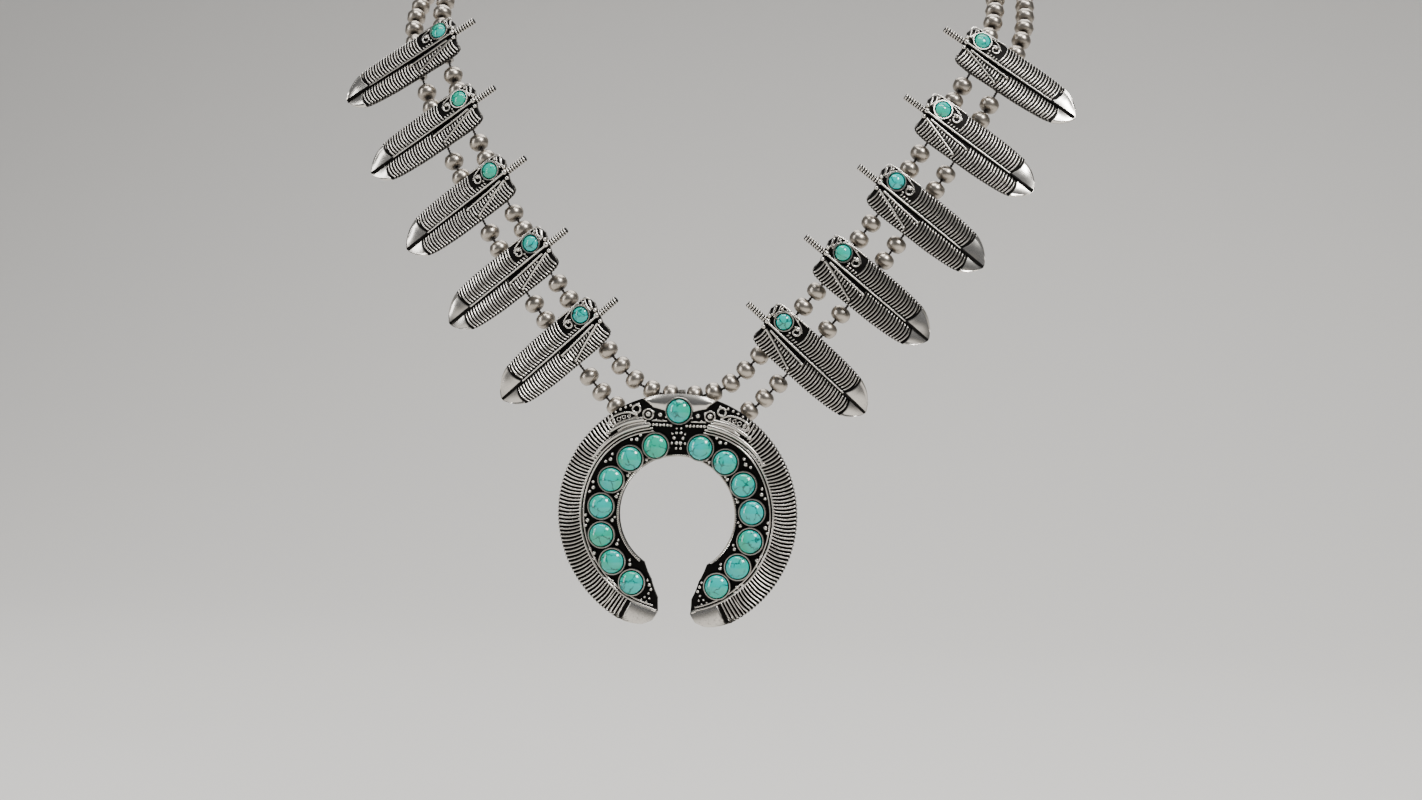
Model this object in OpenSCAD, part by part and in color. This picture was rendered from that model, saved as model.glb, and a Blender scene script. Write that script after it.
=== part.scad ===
// Squash blossom necklace of cast silver and turquoise, worn round the neck.
// Two strands of silver beads carry five cast feathers on each side and a
// crescent pendant made of two feathers that meet over its top stone.
// Units are millimetres and +Z is up. The origin lies at the nape, in the middle
// of the clasp. The pendant faces -Y and hangs below and in front of it.

/* [Strands] */
// Diameter of a bead
bead_d = 5.4; // [4.8:0.1:5.6]
// Length of a bead along its thread
bead_len = 4.6; // [4:0.1:5.2]
// Diameter of the flat round a bead's bore
bead_end_d = 2.2; // [1.9:0.1:2.8]
// Clearance from one bead to the next
bead_play = 0.7; // [0.4:0.05:0.9]
// Diameter of the bore through a bead
bead_bore = 1.1; // [1:0.05:1.4]
// Diameter of the thread
thread_d = 0.8; // [0.5:0.05:0.9]
// Beads on a strand between one feather and the next
section_beads = 3; // [2:1:4]
// Beads on the inner strand between the pendant's eye and the lowest feather
bottom_beads = 5; // [4:1:6]
// Bare thread below each feather
slack = 2.4; // [1.8:0.1:4]
// Distance between the middles of the two strands in front
row_gap = 8.7; // [7.6:0.1:9.6]
// Clearance between the two rows of beads where they reach the clasp
clasp_row_play = 0.6; // [0.4:0.1:2]

/* [Feathers] */
// Length of a feather from the quill's end to the tip
feather_len = 42.3; // [38:0.1:46]
// Width of a feather across both vanes
feather_w = 13; // [11.5:0.25:14]
// Thickness of a feather's plate without its relief
feather_t = 1.1; // [0.8:0.1:1.6]
// Length of the round quill that stands clear of the vanes
quill_len = 6.2; // [5:0.2:7.5]
// Diameter of the quill over its rings
quill_d = 2.1; // [1.6:0.1:2.6]
// Rings along the quill
quill_rings = 8; // [5:1:10]
// Distance from one rib of a vane to the next
rib_pitch = 0.9; // [0.8:0.05:1.2]
// Width of a rib
rib_w = 0.5; // [0.35:0.05:0.6]
// Height of a rib above the plate
rib_h = 0.45; // [0.25:0.05:0.7]
// Diameter of the central shaft at its thick end
shaft_d = 1.7; // [1.2:0.1:2]
// Diameter of the central shaft at the feather's tip
shaft_tip_d = 0.7; // [0.5:0.1:1]
// Thickness of the two barbs beside the quill, at their thick ends
barb_d = 0.8; // [0.6:0.05:1]
// Radius of the open scroll beside the stone
scroll_r = 1.1; // [0.9:0.05:1.3]
// Thickness of the wire of scrolls and loops
scroll_wire_d = 0.6; // [0.4:0.05:0.7]
// Bare rim of a plate outside its relief
rim = 0.3; // [0.2:0.05:0.4]
// Diameter of a feather's stone
feather_stone_d = 4; // [3.4:0.1:4.4]
// Distance of the stone's middle from the quill's end
stone_along = 10.2; // [9.7:0.1:10.7]
// Distance of the stone's middle from the shaft's middle
stone_aside = 3; // [2.9:0.1:3.3]
// Length of a stringing tube on a feather's back
tube_len = 5; // [4:0.25:6]
// Outer diameter of a stringing tube
tube_d = 2.8; // [2.4:0.1:3.4]
// Distance of the tubes below the feather's middle line
tube_drop = 1.4; // [0.8:0.1:2]
// Clearance between the beads and the back of a feather or of the pendant
back_play = 0.4; // [0.3:0.05:0.8]

/* [Stone settings] */
// Wall of the collar round a stone
collar_wall = 0.6; // [0.4:0.05:0.8]
// Height of the collar above the plate
collar_h = 1.1; // [0.8:0.1:1.5]
// Clearance round and under a stone
stone_play = 0.1; // [0.05:0.01:0.15]
// Height of a stone as a share of its diameter
dome_share = 0.46; // [0.38:0.01:0.55]
// Diameter of a silver granule
granule_d = 1.1; // [0.8:0.05:1.3]

/* [Pendant] */
// Outer diameter of the crescent
crescent_d = 64; // [60:0.5:68]
// Diameter of the opening inside the crescent
opening_d = 30.8; // [28:0.2:31.6]
// Thickness of the crescent's plate without its relief
crescent_t = 1.6; // [1.2:0.1:2.4]
// Diameter of a pendant stone
stone_d = 6; // [5.4:0.1:6.3]
// Stones down each side of the crescent
side_stones = 7; // [5:1:7]
// Distance from one side stone to the next
stone_pitch = 7.65; // [7.5:0.05:7.8]
// Distance from the opening's edge to the middle of the side stones' row
stone_row_in = 5; // [4.7:0.1:5.3]
// Distance of the top stone's middle below the crescent's top edge
top_stone_drop = 4.5; // [4.3:0.1:4.8]
// Distance of the pendant's top edge above the middle line of the strands
pendant_rise = 4.9; // [4.4:0.1:6]
// Radius of the shaft line of the crescent's feathers
crescent_shaft_r = 25.5; // [25.2:0.1:26]
// Thickness of the crescent's shaft line
crescent_shaft_d = 1.2; // [0.8:0.1:1.4]
// Distance from one rib of the crescent to the next, at the rim
crescent_rib_pitch = 1.08; // [0.9:0.05:1.4]
// Diameter of the milled beads under the top stone
milled_bead_d = 0.8; // [0.6:0.05:0.9]
// Thickness of the twisted wire along the inner edge
edge_wire_d = 0.5; // [0.4:0.05:0.55]
// Thickness of an eye on the pendant's back, along the strand
eye_t = 1.2; // [1:0.1:2]
// Outer diameter of an eye
eye_d = 3; // [2.6:0.1:3.6]

/* [Clasp] */
// Length of the clasp
clasp_len = 14; // [10:0.5:20]
// Thickness of the clasp
clasp_t = 3.4; // [2.4:0.1:4.5]
// Metal above and below the clasp's two bores
clasp_edge = 1.8; // [1.4:0.1:3]
// How much the radius of a thread's bore grows towards the clasp's ends
clasp_mouth = 0.55; // [0.5:0.05:0.6]

/* [Hidden] */
$fn = 32;
// Silver and turquoise as the photograph shows them
SILVER = "#c9c6c0";
DARK_SILVER = "#8d8984";
TURQUOISE = "#5fcac2";
THREAD = "#2a2422";

// The middle line of the right-hand half, from the pendant round to the nape.
// Columns: x, y, z, then the way the strands face: degrees turned from the front
// towards the side and the back, and degrees leaned up.
ROUTE = [
    [0, -162, -160.4, 0, 0],
    [5.5, -162, -160.4, 0, 0],
    [10.7, -162.3, -158.8, 3, 0],
    [16.3, -162.3, -155.5, 6.3, 0.5],
    [23.5, -162.2, -147.7, 9.6, 1.6],
    [36.6, -161, -132.1, 13.2, 3.7],
    [50.4, -156.9, -113.5, 15.9, 7.9],
    [62.4, -150.5, -94.5, 18, 14.9],
    [72.6, -141.5, -76, 19.2, 25.3],
    [80.2, -129.2, -58, 24.3, 36.6],
    [80.3, -115, -46.3, 35.3, 47.2],
    [78.5, -97, -34, 50, 58],
    [72.5, -69, -23, 84, 55],
    [58, -38, -12.5, 120, 42],
    [37, -14, -4.5, 146, 25],
    [18, -3.2, -1, 166, 8],
    [0, 0, 0, 180, 0],
];
// Degrees that each feather hangs below the square across the strands, lowest first
FEATHER_DROOP = [0.9, 0.6, 3, 3.6, 7.4];
// Edge of the stone-side vane and of the plain vane: share of the feather's
// length from the quill's end, and share of half its width
STONE_EDGE = [[0.128, 0.12], [0.127, 0.55], [0.142, 0.77], [0.187, 0.92], [0.377, 0.98],
    [0.53, 1], [0.7, 0.99], [0.82, 0.92], [0.896, 0.75], [0.957, 0.45], [0.99, 0.15], [1, 0]];
PLAIN_EDGE = [[0.165, 0.1], [0.168, 0.33], [0.195, 0.97], [0.53, 1], [0.7, 0.96],
    [0.863, 0.83], [0.94, 0.57], [0.982, 0.24], [1, 0]];
// Where the ribs of the two vanes begin and end, as shares of the length
STONE_RIBS = [0.395, 0.812];
PLAIN_RIBS = [0.47, 0.845];
SHORT_RIBS = [0.195, 0.455];
QUILL_SIDE_RIBS = [0.142, 0.185];
// Gap between the last rib and the smooth tip, as a share of the length
TIP_GAP = 0.03;
// Barbs on the plain side: both ends as shares of the length and of half the width
FEATHER_BARBS = [[0.195, 0.26, 0.47, 0.35], [0.21, 0.35, 0.43, 0.82]];
// End of each side of the crescent: degrees from the top, share of its radius
CRESCENT_TIP = [[153, 1], [158, 0.985], [164, 0.955], [168.5, 0.905], [170.5, 0.83],
    [168.5, 0.71], [160, 0.58], [151, 0.51]];
// Last angles of the crescent's full width and of its opening, and the span of its ribs
CRESCENT_ARC = 150;
OPENING_ARC = 144;
CRESCENT_RIB_SPAN = [34, 152];
// Granules between two side stones: share of the step from one stone to the
// next, and share of a stone's diameter out from their row
GRANULES = [[0.5, 0.55], [0.36, 0.68], [0.64, 0.68], [0.5, -0.53]];
// Ornament of the crescent's top. Places are degrees from the top and a share of
// the crescent's radius, and thicknesses are shares of a granule's diameter.
// Long barbs: place of the thick end, place of the thin end, both thicknesses
BARBS = [[20, 0.822, 41, 0.859, 1.36, 0.82], [17, 0.759, 57, 0.831, 1.18, 0.73]];
// Single granules: place and thickness
LONE_GRANULES = [[41.5, 0.8625, 1], [57.7, 0.834, 1], [10.4, 0.828, 1.18], [17.2, 0.8625, 1.45]];
// Loops of wire: place and radius of the loop
LOOPS = [[22.8, 0.9125, 0.82], [29, 0.903, 1]];
// Row of milled beads: how many, and the first one's place and the pitch in their diameters
MILLED_BEADS = 7;
MILLED_START = 2.9;
MILLED_PITCH = 1.19;
// Saddle beside the top stone: its last angle in degrees, its inner edge as a share of the radius
SADDLE_END = 19;
SADDLE_SHARE = 0.894;
// Degrees over which the shaft line and the wire along the inner edge run
SHAFT_SPAN = [20, 168];
WIRE_SPAN = [0, 143];

FEATHERS = len(FEATHER_DROOP);
bead_pitch = bead_len + bead_play;
clasp_row_gap = bead_d + clasp_row_play;
back_off = bead_d / 2 + back_play;
feather_step = section_beads * bead_pitch + slack + tube_len;
// The strands cross a feather's back over a third of the way along it
cross_along = 0.38 * feather_len;
// Depth by which relief is sunk into what carries it
sink = 0.3;
// Height of a stone's upright girdle as a share of its diameter
GIRDLE = 0.25;
// Groove between a quill's rings, and length of the quill inside the shaft
ring_depth = 0.1 * quill_d;
quill_root = 1.2;
bore_d = thread_d + 0.5;
collar_r = feather_stone_d / 2 + stone_play + collar_wall;
crescent_r = crescent_d / 2;
opening_r = opening_d / 2;
pendant_z = ROUTE[0].z + pendant_rise - crescent_r;
pendant_back_y = ROUTE[0].y - back_off;
top_stone_r = crescent_r - top_stone_drop;
stone_row_r = opening_r + stone_row_in;
stone_step = stone_pitch / stone_row_r * 180 / PI;
// The row of side stones lies on a circle a little below the crescent's middle
STONE_ROW_DROP = 1.5;
FIRST_STONE = 17.1;

// Small helpers for vectors, tables and curves
function unit(v) = v / norm(v);
function mix(a, b, t) = a + (b - a) * t;
function flip_x(p) = [-p.x, p.y, p.z];
function running(v) = [for (i = 0, s = 0; i < len(v); i = i + 1, s = s + (i < len(v) ? v[i] : 0)) s];
function lengths(p) = concat([0], running([for (i = [1:len(p) - 1]) norm(p[i] - p[i - 1])]));
function pick(s, at, p) = [for (c = [0:2]) lookup(s, [for (i = [0:len(p) - 1]) [at[i], p[i][c]]])];
function column(at, v) = [for (i = [0:len(at) - 1]) [at[i], v[i]]];
function frame(o, x, y, z) =
    [[x.x, y.x, z.x, o.x], [x.y, y.y, z.y, o.y], [x.z, y.z, z.z, o.z], [0, 0, 0, 1]];

// Smooth curve through the rows of the route
STEPS = 8;
function spline(a, b, c, d, t) =
    0.5 * (2 * b + (c - a) * t + (2 * a - 5 * b + 4 * c - d) * t * t + (3 * b - a - 3 * c + d) * t * t * t);
LAST = len(ROUTE) - 1;
function mirrored_row(r) = [-r[0], r[1], r[2], r[3] < 90 ? -r[3] : 360 - r[3], r[4]];
function row(i) = i < 0 ? mirrored_row(ROUTE[-i]) : i > LAST ? mirrored_row(ROUTE[2 * LAST - i]) : ROUTE[i];
SAMPLES = [for (i = [0:LAST - 1]) for (j = [0:STEPS - 1])
    spline(row(i - 1), row(i), row(i + 1), row(i + 2), j / STEPS)];
ROWS = concat(SAMPLES, [ROUTE[LAST]]);
COUNT = len(ROWS);
MID = [for (r = ROWS) [r[0], r[1], r[2]]];
function along(i) = i == 0 || i == COUNT - 1
    ? [i == 0 ? 1 : -1, 0, 0]
    : unit(MID[i + 1] - MID[i - 1]);
function facing(r) = [sin(r[3]) * cos(r[4]), -cos(r[3]) * cos(r[4]), sin(r[4])];
function squared(n, t) = unit(n - (n * t) * t);
TANGENT = [for (i = [0:COUNT - 1]) along(i)];
NORMAL = [for (i = [0:COUNT - 1]) squared(facing(ROWS[i]), TANGENT[i])];
ACROSS = [for (i = [0:COUNT - 1]) cross(TANGENT[i], NORMAL[i])];
MID_AT = lengths(MID);
HALF_LEN = MID_AT[COUNT - 1];
// The two strands draw together over the last part of the way to the clasp
GATHER_FROM = 0.55;
function half_gap(s) = mix(row_gap, clasp_row_gap, max(0, s / HALF_LEN - GATHER_FROM) / (1 - GATHER_FROM)) / 2;
INNER = [for (i = [0:COUNT - 1]) MID[i] - ACROSS[i] * half_gap(MID_AT[i])];
OUTER = [for (i = [0:COUNT - 1]) MID[i] + ACROSS[i] * half_gap(MID_AT[i])];
INNER_AT = lengths(INNER);
OUTER_AT = lengths(OUTER);

// Places of the feathers along the middle line and along each strand
first_inner = eye_t / 2 + bottom_beads * bead_pitch + 0.7 * slack + tube_len / 2;
function tube_shift(k) = row_gap / 2 * tan(FEATHER_DROOP[k]);
first_mid = lookup(first_inner, column(INNER_AT, MID_AT)) - tube_shift(0);
function feather_at(k) = first_mid + k * feather_step;
function inner_tube(k) = lookup(feather_at(k) + tube_shift(k), column(MID_AT, INNER_AT));
function outer_tube(k) = lookup(feather_at(k) - tube_shift(k), column(MID_AT, OUTER_AT));
INNER_TUBES = [for (k = [0:FEATHERS - 1]) inner_tube(k)];
OUTER_TUBES = [for (k = [0:FEATHERS - 1]) outer_tube(k)];

// Starts of the beads along a strand, from its tubes and its length
function filled(from, count, pitch) = [for (i = [0:1:count - 1]) from + i * pitch];
function bottom(tubes) = filled(
    eye_t / 2, floor((tubes[0] - tube_len / 2 - eye_t / 2) / bead_pitch), bead_pitch);
function between(tubes) = [
    for (k = [0:FEATHERS - 2])
    each filled(tubes[k] + tube_len / 2, floor((tubes[k + 1] - tubes[k] - tube_len) / bead_pitch), bead_pitch)];
function back_room(tubes, at) = at[COUNT - 1] - clasp_len / 2 - tubes[FEATHERS - 1] - tube_len / 2;
function back_count(tubes, at) = floor(back_room(tubes, at) / bead_pitch);
function back(tubes, at) = filled(
    tubes[FEATHERS - 1] + tube_len / 2, back_count(tubes, at), back_room(tubes, at) / back_count(tubes, at));
function bead_starts(tubes, at) = concat(bottom(tubes), between(tubes), back(tubes, at));
INNER_BEADS = bead_starts(INNER_TUBES, INNER_AT);
OUTER_BEADS = bead_starts(OUTER_TUBES, OUTER_AT);

// Knots of the thread: at both ends of every bead and of every tube
function sorted(v) = len(v) < 2 ? v : let (p = v[floor(len(v) / 2)]) concat(
    sorted([for (x = v) if (x < p - 0.01) x]), [p], sorted([for (x = v) if (x > p + 0.01) x]));
function knots(beads, tubes, at) = sorted(concat(
    [for (b = beads) each [b, b + bead_pitch]],
    [for (t = tubes) each [t - tube_len / 2, t + tube_len / 2]],
    [eye_t / 2, at[COUNT - 1] - clasp_len / 2, at[COUNT - 1] - clasp_len / 4]));

// One bead with its bore along X, drawn at the middle of its own length
module bead() {
    r = bead_d / 2;
    h = (bead_len - bead_play / 2) / 2;
    rotate([0, 90, 0]) rotate_extrude()
        polygon([[bead_bore / 2, -h], [bead_end_d / 2, -h], [0.78 * r, -0.72 * h], [0.96 * r, -0.28 * h],
            [r, 0], [0.96 * r, 0.28 * h], [0.78 * r, 0.72 * h], [bead_end_d / 2, h], [bead_bore / 2, h]]);
}

// Lays children along the chord between two places on a strand
module on_chord(from, to, at, p) {
    a = pick(from, at, p);
    b = pick(to, at, p);
    x = unit(b - a);
    n = squared(pick((from + to) / 2, at, NORMAL), x);
    multmatrix(frame((a + b) / 2, x, cross(n, x), n)) children();
}

module bead_row(starts, at, p) {
    color(SILVER) for (s = starts) on_chord(s, s + bead_pitch, at, p) bead();
}

module thread(beads, tubes, at, p) {
    sides = 6;
    half = knots(beads, tubes, at);
    n = len(half);
    right = [for (s = half) pick(s, at, p)];
    facing_right = [for (s = half) pick(s, at, NORMAL)];
    line = concat([for (i = [n - 1:-1:0]) right[i]], [for (q = right) flip_x(q)]);
    up = concat([for (i = [n - 1:-1:0]) facing_right[i]], [for (q = facing_right) flip_x(q)]);
    last = len(line) - 1;
    function way(i) = unit(line[min(i + 1, last)] - line[max(i - 1, 0)]);
    function side(i) = unit(cross(way(i), up[i]));
    points = [for (i = [0:last]) for (j = [0:sides - 1]) let (a = 360 * j / sides)
        line[i] + thread_d / 2 * (cos(a) * side(i) + sin(a) * cross(side(i), way(i)))];
    walls = [for (i = [0:last - 1]) for (j = [0:sides - 1]) let (k = (j + 1) % sides)
        [i * sides + j, i * sides + k, (i + 1) * sides + k, (i + 1) * sides + j]];
    caps = [[for (j = [sides - 1:-1:0]) j], [for (j = [0:sides - 1]) last * sides + j]];
    color(THREAD) polyhedron(points, concat(walls, caps));
}

// A domed stone with a flat bottom at z = 0
module cabochon(d) {
    rise = (dome_share - GIRDLE) * d;
    r = (d * d / 4 + rise * rise) / (2 * rise);
    color(TURQUOISE) intersection() {
        cylinder(h = dome_share * d + sink, r = d / 2);
        translate([0, 0, dome_share * d - r]) sphere(r);
    }
}

module collar(inside_d) {
    rotate_extrude() translate([inside_d / 2, -sink]) square([collar_wall, collar_h + sink]);
}

module granule(p, d = granule_d) {
    translate([p.x, p.y, 0.1 * d]) sphere(d / 2);
}

// A tapered ridge that lies half sunk along the line from a to b
module ridge(a, b, d1, d2) {
    turn = atan2(b.y - a.y, b.x - a.x);
    translate([a.x, a.y, 0]) rotate([0, 0, turn]) rotate([0, 90, 0])
        cylinder(h = norm(b - a), d1 = d1, d2 = d2);
}

function edge_v(edge, u) = lookup(u / feather_len, edge) * feather_w / 2;
function edge_points(edge, way) = [for (e = edge) [e[0] * feather_len, way * e[1] * feather_w / 2]];
function backwards(v) = [for (i = [len(v) - 1:-1:0]) v[i]];

// Outline of a comb of ribs that grow from the line of roots and bow towards the tip
function comb(span, edge, way, root, bow = 0.5 * rib_pitch) = let (
        u0 = span[0] * feather_len,
        n = floor((span[1] - span[0]) * feather_len / rib_pitch))
    concat(
        [for (i = [0:n - 1]) let (u = u0 + i * rib_pitch, v = edge_v(edge, u) - rim, m = (root + v) / 2)
            each [[u, way * root], [u + bow, way * m], [u, way * v],
                [u + rib_w, way * v], [u + rib_w + bow, way * m], [u + rib_w, way * root]]],
        [[u0 + (n - 1) * rib_pitch + rib_w, way * (root - sink)], [u0, way * (root - sink)]]);

module comb_layer(points) {
    translate([0, 0, -sink]) linear_extrude(rib_h + sink) polygon(points);
}

// Edge list of the smooth tip, from where the ribs end
function tip_of(edge, from, way) = concat(
    [[from * feather_len, 0], [from * feather_len, way * (edge_v(edge, from * feather_len) - rim)]],
    [for (e = edge) if (e[0] > from + 0.02) [e[0] * feather_len - rim, way * e[1] * (feather_w / 2 - rim)]]);

module quill() {
    step = quill_len / quill_rings;
    r = quill_d / 2;
    low = r - ring_depth;
    outline = concat([[0, 0]],
        [for (i = [0:quill_rings - 1]) each [[low, i * step], [r, (i + 0.3) * step], [r, (i + 0.7) * step]]],
        [[low, quill_len], [low, quill_len + quill_root], [0, quill_len + quill_root]]);
    rotate([0, 90, 0]) rotate_extrude() polygon(outline);
}

// Frame of feather k: the quill's end on its back, then the ways of its length,
// of its stone side and of its face
function feather_frame(k) = let (
        s = feather_at(k),
        t = unit(pick(s, MID_AT, TANGENT)),
        n = squared(pick(s, MID_AT, NORMAL), t),
        a = cross(t, n),
        d = FEATHER_DROOP[k],
        u = a * cos(d) - t * sin(d),
        v = t * cos(d) + a * sin(d))
    [pick(s, MID_AT, MID) + n * back_off + t * tube_drop - u * cross_along, u, v, n];
FRAMES = [for (k = [0:FEATHERS - 1]) feather_frame(k)];
function in_feather(k, p) = let (f = FRAMES[k], q = p - f[0]) [q * f[1], q * f[2], q * f[3]];
function tube_ends(k) = [
    for (e = [[INNER_TUBES[k], INNER_AT, INNER], [OUTER_TUBES[k], OUTER_AT, OUTER]])
    [for (w = [-0.5, 0.5]) in_feather(k, pick(e[0] + w * tube_len, e[1], e[2]))]];

// Lays children along the line from a to b, with their +Z towards the feather's back
module on_line(a, b) {
    x = unit(b - a);
    n = squared([0, 0, 1], x);
    multmatrix(frame((a + b) / 2, x, cross(n, x), n)) children();
}

module stringing_tube() {
    rotate([0, 90, 0]) cylinder(h = tube_len, d = tube_d, center = true);
    web = tube_len - 2 * rim;
    translate([-web / 2, -tube_d / 4, 0]) cube([web, tube_d / 2, back_off + sink]);
}

// The plate with its two stringing tubes
module feather_plate(k) {
    difference() {
        union() {
            linear_extrude(feather_t)
                polygon(concat(edge_points(STONE_EDGE, 1), backwards(edge_points(PLAIN_EDGE, -1))));
            for (e = tube_ends(k)) on_line(e[0], e[1]) stringing_tube();
        }
        for (e = tube_ends(k)) on_line(e[0], e[1])
            rotate([0, 90, 0]) cylinder(h = tube_len + 1, d = bore_d, center = true);
    }
}

module feather_ribs() {
    shaft_side = 0.3 * shaft_d;
    comb_layer(comb(STONE_RIBS, STONE_EDGE, 1, shaft_side));
    comb_layer(comb(PLAIN_RIBS, PLAIN_EDGE, -1, shaft_side));
    comb_layer(comb(SHORT_RIBS, PLAIN_EDGE, -1, 0.24 * feather_w, bow = 0.2 * rib_pitch));
    comb_layer(comb(QUILL_SIDE_RIBS, STONE_EDGE, 1, 0.11 * feather_w, bow = 0.1 * rib_pitch));
    comb_layer(tip_of(STONE_EDGE, STONE_RIBS[1] + TIP_GAP, 1));
    comb_layer(tip_of(PLAIN_EDGE, PLAIN_RIBS[1] + TIP_GAP, -1));
}

module feather_ornament() {
    half = feather_w / 2;
    ridge([quill_len + quill_root / 2, 0], [feather_len - rim, 0], shaft_d, shaft_tip_d);
    for (b = FEATHER_BARBS)
        ridge([b[0] * feather_len, -b[1] * half], [b[2] * feather_len, -b[3] * half], barb_d, 0.6 * barb_d);
    for (b = [0.29, -0.26]) granule([quill_len + quill_root / 2 + b * quill_d, -b * half]);
    granule([FEATHER_BARBS[0][2] * feather_len, -FEATHER_BARBS[0][3] * half], barb_d);
    translate([stone_along, stone_aside, 0]) collar(feather_stone_d + 2 * stone_play);
    translate([stone_along + collar_r + scroll_r, stone_aside + rim, 0]) rotate([0, 0, -150])
        rotate_extrude(angle = 300) translate([scroll_r, 0]) circle(scroll_wire_d / 2);
}

module feather_place(k) {
    f = FRAMES[k];
    multmatrix(frame(f[0], f[1], f[2], f[3])) children();
}

module right_feather(k) {
    color(SILVER) feather_place(k) {
        union() {
            feather_plate(k);
            translate([0, 0, feather_t]) feather_ribs();
        }
        translate([0, 0, quill_d / 2]) quill();
        translate([0, 0, feather_t]) feather_ornament();
    }
}

module right_feather_stone(k) {
    feather_place(k) translate([stone_along, stone_aside, feather_t + stone_play]) cabochon(feather_stone_d);
}

// The pendant is drawn flat, seen from the front, with its relief towards +Z
function polar(a, r) = r * [sin(a), cos(a)];
function arc(from, to, r, step = 3) = [for (a = [from:step:to]) polar(a, r)];
function side_outline() = concat(
    arc(0, CRESCENT_ARC, crescent_r), [for (t = CRESCENT_TIP) polar(t[0], t[1] * crescent_r)],
    backwards(arc(0, OPENING_ARC, opening_r)));
function side_stone_at(i) = [0, -STONE_ROW_DROP] + polar(FIRST_STONE + i * stone_step, stone_row_r);

module both_sides() {
    children();
    mirror([1, 0, 0]) children();
}

function crescent_ribs() = let (
        step = crescent_rib_pitch / crescent_r * 180 / PI,
        wide = 0.55 * step,
        n = floor((CRESCENT_RIB_SPAN[1] - CRESCENT_RIB_SPAN[0]) / step),
        root = crescent_shaft_r + crescent_shaft_d / 4,
        tip = crescent_r - rim)
    concat(
        [for (i = [0:n - 1]) let (a = CRESCENT_RIB_SPAN[0] + i * step)
            each [polar(a, root), polar(a, tip), polar(a + wide, tip), polar(a + wide, root)]],
        [polar(CRESCENT_RIB_SPAN[1], root), polar(CRESCENT_RIB_SPAN[1], root - sink)],
        backwards(arc(CRESCENT_RIB_SPAN[0], CRESCENT_RIB_SPAN[1] - 1, root - sink)));

module half_ring(from, to, r, d) {
    rotate([0, 0, 90 - to]) rotate_extrude(angle = to - from, $fn = 96) translate([r, 0]) circle(d / 2);
}

module crescent_ribs_and_saddle() {
    comb_layer(crescent_ribs());
    // Smooth saddle beside the top stone, from the stone's collar outwards
    saddle_r = SADDLE_SHARE * crescent_r;
    start = asin((stone_d / 2 + stone_play + collar_wall / 3) / saddle_r);
    comb_layer(concat(
        arc(start, SADDLE_END, crescent_r - rim),
        backwards(arc(start, SADDLE_END, saddle_r))));
}

module crescent_wires() {
    half_ring(SHAFT_SPAN[0], SHAFT_SPAN[1], crescent_shaft_r, crescent_shaft_d);
    half_ring(WIRE_SPAN[0], WIRE_SPAN[1], opening_r + 0.6 * edge_wire_d, edge_wire_d);
}

module crescent_ornament() {
    for (b = BARBS)
        ridge(polar(b[0], b[1] * crescent_r), polar(b[2], b[3] * crescent_r),
            b[4] * granule_d, b[5] * granule_d);
    for (g = LONE_GRANULES) granule(polar(g[0], g[1] * crescent_r), g[2] * granule_d);
    for (i = [0:MILLED_BEADS - 1])
        granule([(MILLED_START + MILLED_PITCH * i) * milled_bead_d, 0.731 * crescent_r], milled_bead_d);
    for (l = LOOPS) translate(concat(polar(l[0], l[1] * crescent_r), [0]))
        rotate_extrude() translate([l[2] * granule_d, 0]) circle(scroll_wire_d / 2);
}

module crescent_setting(p) {
    translate([p.x, p.y, 0]) collar(stone_d + 2 * stone_play);
}

module side_granules() {
    for (i = [0:side_stones - 2]) for (g = GRANULES) granule(
        [0, -STONE_ROW_DROP] + polar(FIRST_STONE + (i + g[0]) * stone_step, stone_row_r + g[1] * stone_d),
        0.86 * granule_d);
}

module eye(y) {
    translate([0, y, -back_off]) {
        rotate([0, 90, 0]) cylinder(h = eye_t, d = eye_d, center = true);
        translate([-eye_t / 2, -eye_d / 2, 0]) cube([eye_t, eye_d, back_off + sink]);
    }
}

module eye_bore(y) {
    translate([0, y, -back_off]) rotate([0, 90, 0]) cylinder(h = eye_t + 1, d = bore_d, center = true);
}

module pendant_place() {
    translate([0, pendant_back_y, pendant_z]) rotate([90, 0, 0]) children();
}

EYES = [INNER[0].z - pendant_z, OUTER[0].z - pendant_z];

// The plate with an eye on its back for each strand
module crescent_plate() {
    difference() {
        union() {
            linear_extrude(crescent_t) polygon(concat(
                side_outline(), [for (q = backwards(side_outline())) if (q.x > 0.01) [-q.x, q.y]]));
            for (y = EYES) eye(y);
        }
        for (y = EYES) eye_bore(y);
    }
}

module on_face() {
    translate([0, 0, crescent_t]) children();
}

// The relief goes on in layers: ribs, then collars, wires, granules and barbs
module naja() {
    color(SILVER) pendant_place() union() {
        union() {
            union() {
                union() {
                    crescent_plate();
                    on_face() both_sides() crescent_ribs_and_saddle();
                }
                on_face() {
                    for (i = [0:side_stones - 1]) both_sides() crescent_setting(side_stone_at(i));
                    crescent_setting([0, top_stone_r]);
                }
            }
            on_face() both_sides() side_granules();
        }
        on_face() both_sides() crescent_ornament();
        on_face() both_sides() crescent_wires();
    }
}

module naja_stone(p) {
    pendant_place() translate([p.x, p.y, crescent_t + stone_play]) cabochon(stone_d);
}

// A thread's bore widens at its ends, because the strands leave the clasp in a curve
module clasp_bore() {
    mouth_len = clasp_len / 4;
    beyond = 0.5;
    rotate([0, 90, 0]) cylinder(h = clasp_len + 1, d = bore_d, center = true);
    for (a = [-90, 90]) rotate([0, a, 0]) translate([0, 0, clasp_len / 2 - mouth_len]) cylinder(
        h = mouth_len + beyond, r1 = bore_d / 2,
        r2 = bore_d / 2 + clasp_mouth * (1 + beyond / mouth_len));
}

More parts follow.
